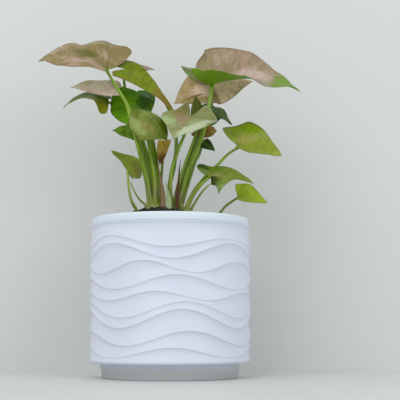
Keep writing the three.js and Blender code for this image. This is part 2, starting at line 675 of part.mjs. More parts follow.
function linerGeometry() {
  const { wall, bottom, rimBottom, rimTop, rimRadius, rimBevel, bottomCorner: corner } = LINER;
  const [topRadius, lowRadius] = [LINER.bodyRadiusTop, LINER.bodyRadiusBottom];
  const profile = [
    [0, bottom], [lowRadius - corner, bottom], [lowRadius, bottom + corner],
    [topRadius, rimBottom],
    [rimRadius - rimBevel, rimBottom], [rimRadius, rimBottom + rimBevel],
    ...LINER.rimCorners.map(([inwards, down]) => [rimRadius - inwards, rimTop - down]),
    [LINER.innerRadiusTop, rimTop - LINER.rimDip], [topRadius - wall, rimBottom],
    [lowRadius - wall, bottom + wall + corner], [lowRadius - wall - corner, bottom + wall],
    [0, bottom + wall],
  ].map(([radius, height]) => new THREE.Vector2(radius, height));
  const shell = new THREE.LatheGeometry(profile, LINER.segments);
  shell.rotateX(Math.PI / 2);
  let liner = toManifold(shell);
  for (let k = 0; k < LINER.drainHoles; k += 1) {
    const bearing = 2 * Math.PI * k / LINER.drainHoles;
    const drill = new THREE.CylinderGeometry(
      LINER.drainRadius, LINER.drainRadius, LINER.drillLength, LINER.drainSides,
    );
    drill.rotateX(Math.PI / 2);
    drill.translate(
      LINER.drainCircle * Math.sin(bearing), LINER.drainCircle * Math.cos(bearing), bottom,
    );
    liner = liner.subtract(toManifold(drill));
  }
  return fromManifold(liner);
}

function soilHeight(x, y) {
  const [centreX, centreY] = SOIL.moundCentre;
  const squared = (x - centreX) ** 2 + (y - centreY) ** 2;
  return SOIL.edgeHeight + SOIL.moundHeight * Math.exp(-squared / (2 * SOIL.moundSpread ** 2));
}

function soilGeometry() {
  const topRadius = LINER.bodyRadiusTop - LINER.wall - 2 * CLEARANCE;
  const bottomRadius = LINER.bodyRadiusBottom - LINER.wall - 2 * CLEARANCE;
  const floor = LINER.bottom + LINER.wall + SOIL.floorGap;
  const [cornerAcross, cornerUp] = SOIL.floorCorner;
  const rowsAt = (bearing) => {
    const rows = [];
    for (let i = 1; i <= SOIL.rings; i += 1) {
      const radius = topRadius * i / SOIL.rings;
      rows.push([radius, soilHeight(radius * Math.sin(bearing), -radius * Math.cos(bearing))]);
    }
    rows.push([topRadius, LINER.rimBottom - SOIL.sideTop]);
    rows.push([bottomRadius, floor + cornerUp]);
    rows.push([bottomRadius - cornerAcross, floor]);
    return rows;
  };
  let soil = toManifold(revolveRows(rowsAt, SOIL.segments, soilHeight(0, 0), floor));
  for (const { centre: [x, y], radius } of Object.values(SHOOTS)) {
    const bottom = SHOOT.bottom - CLEARANCE;
    const drill = new THREE.CylinderGeometry(
      radius + CLEARANCE, radius + CLEARANCE, SOIL.drillLength, SHOOT.baseSides,
    );
    drill.rotateX(Math.PI / 2);
    drill.translate(x, y, bottom + SOIL.drillLength / 2);
    soil = soil.subtract(toManifold(drill));
  }
  return fromManifold(soil);
}

// The plant in its pot

const plant = new THREE.Group();

function addPiece(name, geometry, colour, roughness) {
  geometry.computeVertexNormals();
  const material = new THREE.MeshStandardMaterial({ color: colour, roughness, metalness: 0 });
  const mesh = new THREE.Mesh(geometry, material);
  mesh.name = name;
  plant.add(mesh);
}

addPiece('planter', planterGeometry(), 0xe6ebf0, 0.45);
addPiece('liner', linerGeometry(), 0xdfe6ee, 0.4);
addPiece('soil', soilGeometry(), 0x241d17, 0.95);
for (const [name, shoot] of Object.entries(SHOOTS)) {
  addPiece(name, shootGeometry(shoot), GREEN, 0.5);
}
for (const name of Object.keys(LEAVES)) {
  const leaf = leafNamed(name);
  addPiece(name, bladeGeometry(leaf), leaf.colour, 0.5);
}

export default plant;
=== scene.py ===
"""Looks of the potted syngonium: an arrowhead plant with pink and green leaves in a white planter.

Metres, +Z up, +X to the right seen from the front, the front is the -Y side. The shapes follow the
same formulas and numbers as the part's source, on finer grids, with veins, relief and finishes.
"""

import logging
import math
from collections.abc import Iterable
from dataclasses import dataclass, field
from enum import Enum

import bpy
import numpy as np
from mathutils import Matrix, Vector

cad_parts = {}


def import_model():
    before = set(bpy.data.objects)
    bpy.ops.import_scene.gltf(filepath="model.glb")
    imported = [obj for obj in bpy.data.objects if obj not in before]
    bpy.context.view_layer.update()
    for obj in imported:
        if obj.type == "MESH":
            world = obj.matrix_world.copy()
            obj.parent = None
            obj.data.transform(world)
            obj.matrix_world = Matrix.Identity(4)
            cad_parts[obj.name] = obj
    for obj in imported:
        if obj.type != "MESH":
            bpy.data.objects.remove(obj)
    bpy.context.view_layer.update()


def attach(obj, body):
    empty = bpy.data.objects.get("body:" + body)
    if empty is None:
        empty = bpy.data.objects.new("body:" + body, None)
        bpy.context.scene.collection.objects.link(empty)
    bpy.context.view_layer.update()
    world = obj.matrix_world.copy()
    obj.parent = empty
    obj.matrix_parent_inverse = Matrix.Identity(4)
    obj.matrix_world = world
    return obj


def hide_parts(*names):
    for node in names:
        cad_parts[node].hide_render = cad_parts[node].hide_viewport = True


log = logging.getLogger("syngonium")

Array = np.ndarray
Vec3 = tuple[float, float, float]
Pair = tuple[float, float]
Colour = tuple[float, float, float, float]
Folds = tuple[float, float, float, float, float]
Shape = tuple[float, ...]
Route = tuple[Vec3, ...]
Socket = bpy.types.NodeSocket
Material = bpy.types.Material
Piece = bpy.types.Object

MM = 0.001
CM = 0.01

# Numeric helpers


def srgb(red: float, green: float, blue: float) -> Colour:
    """Linear colour, with an alpha of 1, of three screen values from 0 to 255."""
    shares = [value / 255 for value in (red, green, blue)]
    linear = [s / 12.92 if s <= 0.04045 else ((s + 0.055) / 1.055) ** 2.4 for s in shares]
    return (linear[0], linear[1], linear[2], 1.0)


def hermite(knots: Array, values: Array, places: Array) -> Array:
    """Smooth curve through values at uneven knots, with central differences for its slopes.

    Args:
        knots: rising places of the values.
        values: one value at each knot.
        places: where the curve is read, any shape.

    Returns:
        The curve's value at each place.
    """
    last = len(knots) - 1
    before = np.maximum(np.arange(last + 1) - 1, 0)
    after = np.minimum(np.arange(last + 1) + 1, last)
    slopes = (values[after] - values[before]) / (knots[after] - knots[before])
    i = np.clip(np.searchsorted(knots, places, side="right") - 1, 0, last - 1)
    step = knots[i + 1] - knots[i]
    x = (places - knots[i]) / step
    return (
        (2 * x**3 - 3 * x**2 + 1) * values[i]
        + (x**3 - 2 * x**2 + x) * step * slopes[i]
        + (3 * x**2 - 2 * x**3) * values[i + 1]
        + (x**3 - x**2) * step * slopes[i + 1]
    )


def eased(knots: Array, values: Array, places: Array) -> Array:
    """Value eased from knot to knot, level at each knot and held beyond both ends."""
    held = np.clip(places, knots[0], knots[-1])
    i = np.clip(np.searchsorted(knots, held, side="right") - 1, 0, len(knots) - 2)
    x = (held - knots[i]) / (knots[i + 1] - knots[i])
    blend = x * x * (3 - 2 * x)
    return values[i] * (1 - blend) + values[i + 1] * blend


def unit(vectors: Array) -> Array:
    """Vectors of length 1 in the same directions."""
    return vectors / np.maximum(np.linalg.norm(vectors, axis=-1, keepdims=True), 1e-12)


def stacked(*parts: Array | float) -> Array:
    """Vectors of parts that are first spread to one shape."""
    return np.stack(np.broadcast_arrays(*parts), -1)


def bell(distance: Array, width: float) -> Array:
    """Bell curve: e to the power of -(distance / width)^2."""
    return np.exp(-((distance / width) ** 2))


def around(count: int) -> Array:
    """Evenly spaced bearings round a circle, in radians."""
    return 2 * np.pi * np.arange(count) / count


class ValueNoise:
    """Smooth random field in three dimensions that repeats every 32 cells."""

    CELLS = 32
    OCTAVE_SHIFT = 7.3

    def __init__(self, seed: int) -> None:
        """Draws the field's corner values from a seeded generator."""
        shape = (self.CELLS,) * 3
        self.values = np.random.default_rng(seed).uniform(-1, 1, shape)

    def at(self, points: Array) -> Array:
        """Field at points given in cells, from -1 to 1: corner values blended by smooth weights."""
        cell = np.floor(points).astype(int)
        part = points - cell
        part = part * part * (3 - 2 * part)
        total = np.zeros(points.shape[:-1])
        for corner in np.ndindex(2, 2, 2):
            step = np.array(corner)
            weight = np.prod(np.where(step == 1, part, 1 - part), axis=-1)
            x, y, z = np.moveaxis((cell + step) % self.CELLS, -1, 0)
            total += weight * self.values[x, y, z]
        return total

    def layered(self, points: Array, octaves: int) -> Array:
        """Sum of the field at doubling scales, each half as strong as the one before."""
        return sum(0.5**k * self.at(points * 2**k + self.OCTAVE_SHIFT * k) for k in range(octaves))


# Meshes


def add_mesh(
    name: str,
    points: Array,
    faces: list[Array],
    material: Material,
    attributes: dict[str, Array] | None = None,
    sharp_above: float | None = None,
) -> Piece:
    """Makes a smooth-shaded mesh object at the origin.

    Args:
        name: the piece's name.
        points: vertex places, one row each.
        faces: arrays of vertex numbers, each with three or four columns.
        material: the piece's material.
        attributes: vectors for each vertex, or for each face corner in the order of the faces.
        sharp_above: angle in degrees from which an edge is shaded sharp.

    Returns:
        The new object, linked to the scene.
    """
    mesh = bpy.data.meshes.new(name)
    corners = np.concatenate([part.ravel() for part in faces]).astype(np.int32)
    sizes = np.concatenate([np.full(len(part), part.shape[1]) for part in faces])
    starts = np.concatenate([[0], np.cumsum(sizes)[:-1]]).astype(np.int32)
    mesh.vertices.add(len(points))
    mesh.vertices.foreach_set("co", np.ascontiguousarray(points, np.float32).ravel())
    mesh.loops.add(len(corners))
    mesh.loops.foreach_set("vertex_index", corners)
    mesh.polygons.add(len(sizes))
    mesh.polygons.foreach_set("loop_start", starts)
    mesh.polygons.foreach_set("use_smooth", np.ones(len(sizes), bool))
    mesh.update(calc_edges=True)
    for title, values in (attributes or {}).items():
        domain = "POINT" if len(values) == len(points) else "CORNER"
        layer = mesh.attributes.new(title, "FLOAT_VECTOR", domain)
        layer.data.foreach_set("vector", np.ascontiguousarray(values, np.float32).ravel())
    if sharp_above is not None:
        mesh.set_sharp_from_angle(angle=math.radians(sharp_above))
    mesh.materials.append(material)
    piece = bpy.data.objects.new(name, mesh)
    bpy.context.scene.collection.objects.link(piece)
    log.info("%s: %d vertices, %d faces", name, len(points), len(sizes))
    return piece


def keep_modified(piece: Piece) -> None:
    """Gives a piece the mesh that its modifiers make, and removes them."""
    first = piece.data
    graph = bpy.context.evaluated_depsgraph_get()
    piece.data = bpy.data.meshes.new_from_object(piece.evaluated_get(graph))
    piece.modifiers.clear()
    bpy.data.meshes.remove(first)


def belong(piece: Piece, slot: "Slot", *nodes: str) -> Piece:
    """Lets a piece ride on the plant's one body, and hides the CAD nodes it stands for."""
    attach(piece, "root")
    if nodes:
        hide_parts(*nodes)
    return piece


def ring_quads(rows: int, columns: int) -> Array:
    """Quads between rows of points that are numbered row by row, each row closed on itself."""
    i, j = np.meshgrid(np.arange(rows - 1), np.arange(columns), indexing="ij")
    here, beside = i * columns + j, i * columns + (j + 1) % columns
    return stacked(here, beside, beside + columns, here + columns).reshape(-1, 4)


def tube_faces(rows: int, columns: int) -> list[Array]:
    """Faces of a closed tube: its rows, and a fan of triangles from a point at either end.

    The two end points are numbered after the rows, that of the first row before the last row's.
    """
    j = np.arange(columns)
    beside = (j + 1) % columns
    first, last, top = rows * columns, rows * columns + 1, (rows - 1) * columns
    return [ring_quads(rows, columns), stacked(first, beside, j),
            stacked(last, top + j, top + beside)]


def revolve(radii: Array, heights: Array) -> tuple[Array, list[Array]]:
    """Closed solid of rows round the Z axis, listed from the bottom centre round to the top centre.

    A point at bearing b is (r sin b, -r cos b, z), where r and z are the row's at that bearing.

    Args:
        radii, heights: rows by bearings. The first and the last row are closed with a point each.

    Returns:
        The points and the faces, facing outward.
    """
    bearing = around(radii.shape[1])
    ring = np.stack([radii * np.sin(bearing), -radii * np.cos(bearing), heights], -1)
    ends = [[0, 0, heights[0].mean()], [0, 0, heights[-1].mean()]]
    return np.concatenate([ring.reshape(-1, 3), ends]), tube_faces(*radii.shape)


# Node trees


class Graph:
    """Adds nodes to a tree and links them, in columns from left to right."""

    COLUMN_STEP = 190
    ROW_STEP = 260
    ROWS = 3
    NOISE_ROUGHNESS = 0.55

    def __init__(self, tree: bpy.types.NodeTree) -> None:
        """Starts at the left of a tree."""
        self.tree = tree
        self.count = 0

    def feed(self, node: bpy.types.Node, inputs: dict) -> None:
        """Sets a node's inputs to values or links them, by the sockets' names or numbers."""
        for key, value in inputs.items():
            if isinstance(value, Socket):
                self.tree.links.new(value, node.inputs[key])
            else:
                node.inputs[key].default_value = value

    def add(self, kind: str, inputs: dict | None = None, **settings: object) -> bpy.types.Node:
        """Adds a node.

        Args:
            kind: the node's type name.
            inputs: values or output sockets, by the input socket's name or number.
            **settings: properties of the node.

        Returns:
            The new node.
        """
        node = self.tree.nodes.new(kind)
        column, row = divmod(self.count, self.ROWS)
        node.location = (self.COLUMN_STEP * column, -self.ROW_STEP * row)
        self.count += 1
        for title, value in settings.items():
            setattr(node, title, value)
        self.feed(node, inputs or {})
        return node

    def group(self, tree: bpy.types.NodeTree, inputs: dict | None = None) -> bpy.types.Node:
        """Adds a node group, with its inputs set or linked."""
        return self.add("ShaderNodeGroup", inputs, node_tree=tree)

    def math(self, operation: str, *values: object) -> Socket:
        """Output of a maths node on one to three values."""
        return self.add("ShaderNodeMath", dict(enumerate(values)), operation=operation).outputs[0]

    def times(self, first: object, second: object) -> Socket:
        """Product of two values."""
        return self.math("MULTIPLY", first, second)

    def rest(self, value: object) -> Socket:
        """What a value lacks to 1."""
        return self.math("SUBTRACT", 1.0, value)

    def step(self, value: object, low: object, high: object) -> Socket:
        """Smooth step: 0 where value is low, 1 where it is high."""
        inputs = {"Value": value, "From Min": low, "From Max": high}
        node = self.add("ShaderNodeMapRange", inputs, interpolation_type="SMOOTHSTEP")
        return node.outputs["Result"]

    def mix(self, share: object, first: object, second: object) -> Socket:
        """Colour that goes from the first to the second as share goes from 0 to 1."""
        inputs = {0: share, 6: first, 7: second}
        return self.add("ShaderNodeMix", inputs, data_type="RGBA").outputs[2]

    def lay(self, colour: object, over: object, mask: object, share: object) -> Socket:
        """A colour with another laid over it where a mask is 1, as strongly as share says."""
        return self.mix(self.times(mask, share), colour, over)

    def attribute(self, name: str) -> list[Socket]:
        """The three parts of the piece's own attribute."""
        vector = self.add("ShaderNodeAttribute", attribute_name=name).outputs["Vector"]
        return self.split(vector)

    def place(self) -> Socket:
        """Place in the piece's own coordinates."""
        return self.add("ShaderNodeTexCoord").outputs["Object"]

    def split(self, vector: Socket) -> list[Socket]:
        """The three parts of a vector."""
        return list(self.add("ShaderNodeSeparateXYZ", {"Vector": vector}).outputs)

    def vector(self, *parts: object) -> Socket:
        """Vector of three values."""
        return self.add("ShaderNodeCombineXYZ", dict(enumerate(parts))).outputs[0]

    def noise(self, vector: object, scale: object, detail: float = 3.0) -> Socket:
        """Noise from 0 to 1 at a place."""
        inputs = {"Vector": vector, "Scale": scale, "Detail": detail,
                  "Roughness": self.NOISE_ROUGHNESS}
        return self.add("ShaderNodeTexNoise", inputs).outputs["Fac"]

    def wander(self, vector: object, scale: float, spread: float, detail: float = 3.0) -> Socket:
        """Noise of a spread that goes to both sides of 0."""
        return self.math("MULTIPLY_ADD", self.noise(vector, scale, detail), spread, -spread / 2)

    def cells(self, vector: object, scale: float, feature: str) -> Socket:
        """Distance to a feature of a pattern of cells."""
        inputs = {"Vector": vector, "Scale": scale}
        return self.add("ShaderNodeTexVoronoi", inputs, feature=feature).outputs["Distance"]


class Kind(Enum):
    """Types of a node group's sockets."""

    NUMBER = "NodeSocketFloat"
    COLOUR = "NodeSocketColor"


class GroupGraph(Graph):
    """A shader node group while it is filled."""

    def __init__(self, name: str, numbers: tuple[str, ...], colours: tuple[str, ...] = ()) -> None:
        """Starts the group with its inputs, which self.given holds by name."""
        super().__init__(bpy.data.node_groups.new(name, "ShaderNodeTree"))
        self.declare("INPUT", Kind.NUMBER, numbers)
        self.declare("INPUT", Kind.COLOUR, colours)
        self.given = self.add("NodeGroupInput").outputs

    def declare(self, side: str, kind: Kind, titles: Iterable[str]) -> None:
        """Adds sockets of one kind to the group's inputs or outputs."""
        for title in titles:
            self.tree.interface.new_socket(title, in_out=side, socket_type=kind.value)

    def close(self, numbers: dict[str, Socket], **colours: Socket) -> bpy.types.NodeTree:
        """Gives the group its outputs, and returns its tree."""
        self.declare("OUTPUT", Kind.NUMBER, numbers)
        self.declare("OUTPUT", Kind.COLOUR, colours)
        self.feed(self.add("NodeGroupOutput"), {**numbers, **colours})
        return self.tree


class Effects:
    """Shader node groups that the materials share. Each one is made once.

    On a blade, the attribute "blade" holds the place on the margin, the share of the way to it and
    1 for the underside, and "flat" the centimetres along and out from the midrib.
    """

    VEIN_BEND = 0.06  # how far a side vein sweeps towards the tip, as a share of the margin
    VEIN_WOBBLE = (1.4, 0.16)  # noise scale, and spread as a share of the spacing
    VEIN_WIDTH = 0.12  # at the midrib, as a share of the spacing
    VEIN_THINNING = -0.05  # change of that width from the midrib to the margin
    VEIN_END = 0.8  # share of the way to the margin from which the side veins fade
    RIB_START = 1.15  # the midrib's width goes with this less the place on the margin
    EDGE_WOBBLE = (2.2, 0.05)  # noise scale, and spread as a share of the half width
    NET_SCALE = 5.5
    NET_WIDTH = 0.09

    PATCH_LEVELS = (0.5, 0.14, 0.16)  # how the patches' threshold goes with their share
    STREAK_STRETCH = (2.4, 1.6)  # per side vein, and from midrib to margin
    STREAK_LEVELS = (0.42, 0.62)
    SPECKLE_SCALE = 9.0
    SPECKLE_LEVELS = (0.34, 0.16)
    SPECKLE_PATCHES = (1.1, 0.35, 0.65)  # noise scale and levels of where the speckles are
    SHADE_SCALE = 2.6
    SHADE_LEVELS = (0.42, 0.66)
    SHADE_SHARE = 0.4

    SPOT_SLICE = 3.0  # where the spots' ragged edge is read in the noise
    SPOT_RAGGED = (1.9, 1.7)  # noise scale, and spread as a share of the spot's size

    NET_SHARE = 0.35  # strength of the net against the side veins
    CLOUD_SCALE = 0.9  # of the underside
    CLOUD_SHARE = 0.45
    BELOW_VEINS = 0.6  # strength of the side veins underneath against the midrib
    BELOW_SHARE = 0.8
    FINE_SCALE = 14.0
    LINE_DEPTH = -0.6  # height of the veins against the fine noise

    GRAIN_LEVELS = (0.35, 0.68)

    def __init__(self) -> None:
        """Makes every group."""
        self.veins = self.make_veins()
        self.ground = self.make_ground()
        self.spot = self.make_spot()
        self.over = self.make_over()
        self.grain = self.make_grain()

    def make_veins(self) -> bpy.types.NodeTree:
        """Masks of the midrib, the side veins, the fine net between them and the margin."""
        graph = GroupGraph("blade_veins", ("Count", "Midrib width", "Margin width"))
        place, across, under = graph.attribute("blade")
        along, out, _ = graph.attribute("flat")
        flat = graph.vector(along, out, 0.0)
        outward = graph.math("ABSOLUTE", across)
        bend = graph.times(graph.math("POWER", outward, 2.0), self.VEIN_BEND)
        phase = graph.times(graph.math("SUBTRACT", place, bend), graph.given["Count"])
        phase = graph.math("ADD", phase, graph.wander(flat, *self.VEIN_WOBBLE))
        part = graph.math("FRACT", graph.math("ADD", phase, 0.5))
        off = graph.math("ABSOLUTE", graph.math("SUBTRACT", part, 0.5))
        width = graph.math("MULTIPLY_ADD", outward, self.VEIN_THINNING, self.VEIN_WIDTH)
        side = graph.rest(graph.step(off, 0.0, width))
        inside = graph.rest(graph.step(outward, self.VEIN_END, 1.0))
        rib_width = graph.times(graph.given["Midrib width"],
                                graph.math("SUBTRACT", self.RIB_START, place))
        ragged = graph.math("ADD", outward, graph.wander(flat, *self.EDGE_WOBBLE))
        net = graph.cells(flat, self.NET_SCALE, "DISTANCE_TO_EDGE")
        return graph.close({
            "Midrib": graph.step(graph.math("ABSOLUTE", out), rib_width, 0.0),
            "Side veins": graph.times(side, inside),
            "Net": graph.step(net, self.NET_WIDTH, 0.0),
            "Margin": graph.step(ragged, graph.rest(graph.given["Margin width"]), 1.0),
            "Under": under,
        })

    def make_ground(self) -> bpy.types.NodeTree:
        """Colour between the veins: patches, streaks along the side veins, speckles and shade."""
        graph = GroupGraph(
            "blade_ground",
            ("Patch share", "Patch scale", "Streak share", "Speckle share", "Seed", "Count"),
            ("Base", "Patch", "Streak", "Speckle"),
        )
        given = graph.given
        place, across, _ = graph.attribute("blade")
        along, out, _ = graph.attribute("flat")
        flat = graph.vector(along, out, given["Seed"])
        slope, lowest, softness = self.PATCH_LEVELS
        low = graph.math("MULTIPLY_ADD", graph.rest(given["Patch share"]), slope, lowest)
        blot = graph.step(graph.noise(flat, given["Patch scale"], 4.0), low,
                          graph.math("ADD", low, softness))
        colour = graph.mix(blot, given["Base"], given["Patch"])
        by_vein, to_margin = self.STREAK_STRETCH
        streak_place = graph.vector(
            graph.times(place, graph.times(given["Count"], by_vein)),
            graph.times(across, to_margin), given["Seed"],
        )
        streak = graph.step(graph.noise(streak_place, 1.0, 2.0), *self.STREAK_LEVELS)
        colour = graph.lay(colour, given["Streak"], streak, given["Streak share"])
        scale, *levels = self.SPECKLE_PATCHES
        dots = graph.step(graph.cells(flat, self.SPECKLE_SCALE, "F1"), *self.SPECKLE_LEVELS)
        dots = graph.times(dots, graph.step(graph.noise(flat, scale), *levels))
        colour = graph.lay(colour, given["Speckle"], dots, given["Speckle share"])
        shade = graph.step(graph.noise(flat, self.SHADE_SCALE, 4.0), *self.SHADE_LEVELS)
        return graph.close({}, Colour=graph.lay(colour, given["Streak"], shade, self.SHADE_SHARE))

    def make_spot(self) -> bpy.types.NodeTree:
        """Mask of a ragged ellipse at a place on the flattened blade, in centimetres."""
        graph = GroupGraph("blade_spot", ("Along", "Out", "Length", "Width", "Turn", "Softness"))
        given = graph.given
        along, out, _ = graph.attribute("flat")
        x = graph.math("SUBTRACT", along, given["Along"])
        y = graph.math("SUBTRACT", out, given["Out"])
        cosine, sine = graph.math("COSINE", given["Turn"]), graph.math("SINE", given["Turn"])
        ahead = graph.math("MULTIPLY_ADD", x, cosine, graph.times(y, sine))
        aside = graph.math("SUBTRACT", graph.times(y, cosine), graph.times(x, sine))
        squares = [
            graph.math("POWER", graph.math("ABSOLUTE", graph.math("DIVIDE", distance, size)), 2.0)
            for distance, size in ((ahead, given["Length"]), (aside, given["Width"]))
        ]
        reach = graph.math("SQRT", graph.math("ADD", *squares))
        slice_ = graph.vector(along, out, self.SPOT_SLICE)
        reach = graph.math("ADD", reach, graph.wander(slice_, *self.SPOT_RAGGED, 4.0))
        inner = graph.rest(given["Softness"])
        outer = graph.math("ADD", 1.0, given["Softness"])
        return graph.close({"Mask": graph.rest(graph.step(reach, inner, outer))})

    def make_over(self) -> bpy.types.NodeTree:
        """Veins, midrib and margin laid over the ground colour, and the other face's colour."""
        graph = GroupGraph(
            "blade_over",
            ("Vein share", "Rib share", "Edge share", "Midrib", "Side veins", "Net", "Margin",
             "Under", "Seed"),
            ("Ground", "Vein", "Rib", "Edge", "Below", "Below vein"),
        )
        given = graph.given
        lines = graph.math("MULTIPLY_ADD", given["Net"], self.NET_SHARE, given["Side veins"])
        lines = graph.math("MINIMUM", lines, 1.0)
        top = graph.lay(given["Ground"], given["Vein"], lines, given["Vein share"])
        top = graph.lay(top, given["Rib"], given["Midrib"], given["Rib share"])
        top = graph.lay(top, given["Edge"], given["Margin"], given["Edge share"])
        along, out, _ = graph.attribute("flat")
        cloud = graph.noise(graph.vector(along, out, given["Seed"]), self.CLOUD_SCALE)
        below = graph.lay(given["Below"], given["Below vein"], cloud, self.CLOUD_SHARE)
        ribs = graph.math("MAXIMUM", given["Midrib"],
                          graph.times(given["Side veins"], self.BELOW_VEINS))
        below = graph.lay(below, given["Below vein"], ribs, self.BELOW_SHARE)
        fine = graph.noise(graph.vector(along, out, given["Under"]), self.FINE_SCALE, 2.0)
        return graph.close(
            {"Height": graph.math("MULTIPLY_ADD", lines, self.LINE_DEPTH, fine)},
            Colour=graph.mix(given["Under"], top, below),
        )

    def make_grain(self) -> bpy.types.NodeTree:
        """Cloudy change of tone and a fine uneven height, in the piece's own coordinates."""
        graph = GroupGraph("fine_grain", ("Cloud scale", "Grain scale", "Share"),
                           ("Colour", "Second"))
        given = graph.given
        place = graph.place()
        cloud = graph.step(graph.noise(place, given["Cloud scale"]), *self.GRAIN_LEVELS)
        return graph.close(
            {"Height": graph.noise(place, given["Grain scale"], 4.0)},
            Colour=graph.lay(given["Colour"], given["Second"], cloud, given["Share"]),
        )


class SurfaceGraph(Graph):
    """A material while it is filled: its graph, and its Principled BSDF linked to the output."""

    def __init__(self, name: str) -> None:
        """Starts a material of that name."""
        self.material = bpy.data.materials.new(name)
        self.material.use_nodes = True
        super().__init__(self.material.node_tree)
        self.tree.nodes.clear()
        self.shader = self.add("ShaderNodeBsdfPrincipled")
        self.output = self.add("ShaderNodeOutputMaterial", {"Surface": self.shader.outputs["BSDF"]})

    def bump(self, height: Socket, distance: float, strength: float = 1.0) -> Socket:
        """Normal of a surface that a height of that distance roughens."""
        inputs = {"Height": height, "Strength": strength, "Distance": distance}
        return self.add("ShaderNodeBump", inputs).outputs["Normal"]

    def dress(self, colour: Socket, roughness: float, others: dict | None = None) -> None:
        """Feeds the Principled BSDF."""
        self.feed(self.shader, {"Base Color": colour, "Roughness": roughness, **(others or {})})

    def clear_behind(self) -> None:
        """Makes the back clear, so that a sheet of the stage doesn't hide the plant."""
        back = self.add("ShaderNodeNewGeometry").outputs["Backfacing"]
        clear = self.add("ShaderNodeBsdfTransparent").outputs["BSDF"]
        mixed = self.add("ShaderNodeMixShader", {0: back, 1: self.shader.outputs["BSDF"], 2: clear})
        self.feed(self.output, {"Surface": mixed.outputs["Shader"]})


# Finishes


class Slot(Enum):
    """Material slots of the pieces."""

    PLANTER = "planter"
    LINER = "liner"
    SOIL = "soil"
    PETIOLE = "petiole"
    PINK = "leaf_pink"
    MINT = "leaf_mint"
    GREEN = "leaf_green"
    DARK = "leaf_dark"
    YELLOW = "leaf_yellow"
    DRY = "leaf_dry"


@dataclass(frozen=True)
class Spot:
    """Ragged patch of colour: centimetres along and out from the joint, turn in degrees."""

    colour: Colour
    along: float
    out: float
    length: float
    width: float
    turn: float = 0.0
    softness: float = 0.5
    share: float = 1.0
    below: bool = False  # painted on the underside


@dataclass(frozen=True)
class BladeFinish:
    """Colours of one leaf: ground, patches, streaks, speckles, veins, midrib, margin, underside."""

    slot: Slot
    base: Colour
    patch: Colour
    vein: Colour
    rib: Colour
    edge: Colour
    below: Colour
    below_vein: Colour
    streak: Colour
    streak_share: float
    patch_share: float = 0.4
    patch_scale: float = 0.8
    speckle: Colour = srgb(255, 255, 255)
    speckle_share: float = 0.0
    vein_share: float = 0.4
    rib_share: float = 0.8
    rib_width: float = 0.05
    edge_share: float = 0.75
    edge_width: float = 0.09
    roughness: float = 0.42
    gloss: float = 0.15
    bump_strength: float = 0.35
    bump_distance: float = 0.15 * MM
    spots: tuple[Spot, ...] = ()

    def material(self, name: str, effects: Effects, veins: float, seed: float) -> Material:
        """Makes the leaf's material.

        Args:
            name: the material's name.
            effects: the shared node groups.
            veins: side veins from the sinus to the tip on one half.
            seed: where the noise patterns are read.

        Returns:
            The material.
        """
        graph = SurfaceGraph(name)
        masks = graph.group(effects.veins, {
            "Count": veins, "Midrib width": self.rib_width, "Margin width": self.edge_width,
        }).outputs
        ground = graph.group(effects.ground, {
            "Base": self.base, "Patch": self.patch, "Patch share": self.patch_share,
            "Patch scale": self.patch_scale, "Streak": self.streak,
            "Streak share": self.streak_share, "Speckle": self.speckle,
            "Speckle share": self.speckle_share, "Seed": seed, "Count": veins,
        }).outputs["Colour"]
        below = self.below
        for spot in self.spots:
            mask = graph.group(effects.spot, {
                "Along": spot.along, "Out": spot.out, "Length": spot.length, "Width": spot.width,
                "Turn": math.radians(spot.turn), "Softness": spot.softness,
            }).outputs["Mask"]
            if spot.below:
                below = graph.lay(below, spot.colour, mask, spot.share)
            else:
                ground = graph.lay(ground, spot.colour, mask, spot.share)
        over = graph.group(effects.over, {
            "Ground": ground, "Vein": self.vein, "Vein share": self.vein_share, "Rib": self.rib,
            "Rib share": self.rib_share, "Edge": self.edge, "Edge share": self.edge_share,
            "Below": below, "Below vein": self.below_vein, "Seed": seed,
            **{title: masks[title] for title in ("Midrib", "Side veins", "Net", "Margin", "Under")},
        }).outputs
        normal = graph.bump(over["Height"], self.bump_distance, self.bump_strength)
        graph.dress(over["Colour"], self.roughness,
                    {"Normal": normal, "Specular IOR Level": self.gloss})
        return graph.material


@dataclass(frozen=True)
class StemFinish:
    """Colours of the petioles, from their sheathed bases up to the leaves."""

    base: Colour
    pale: Colour
    blush: Colour  # of the sheathed bases
    roughness: float = 0.26
    stretch: Pair = (0.3, 4.0)  # of the noise, per centimetre of height and once round
    noise_scales: Pair = (2.0, 3.0)  # of the streaks and of the blush
    pale_tones: Pair = (0.1, 1.0)  # tone at which a stem starts to turn pale, and is pale
    streak_share: float = 0.7
    streak_levels: Pair = (0.4, 0.58)
    blush_heights: Pair = (3.6, 0.2)  # centimetres above the soil where it starts and is full
    blush_levels: Pair = (0.35, 0.6)
    blush_share: float = 0.6

    def material(self, name: str) -> Material:
        """Makes the petioles' material, which reads the piece's own stem attribute."""
        graph = SurfaceGraph(name)
        height, bearing, tone = graph.attribute("stem")
        upward, round_ = self.stretch
        place = graph.vector(graph.times(height, upward), graph.times(bearing, round_), tone)
        streaks, blushes = (graph.noise(place, scale) for scale in self.noise_scales)
        streak = graph.step(streaks, *self.streak_levels)
        colour = graph.lay(self.base, self.pale, streak, self.streak_share)
        colour = graph.mix(graph.step(tone, *self.pale_tones), colour, self.pale)
        blush = graph.times(graph.step(height, *self.blush_heights),
                            graph.step(blushes, *self.blush_levels))
        graph.dress(graph.lay(colour, self.blush, blush, self.blush_share), self.roughness)
        return graph.material


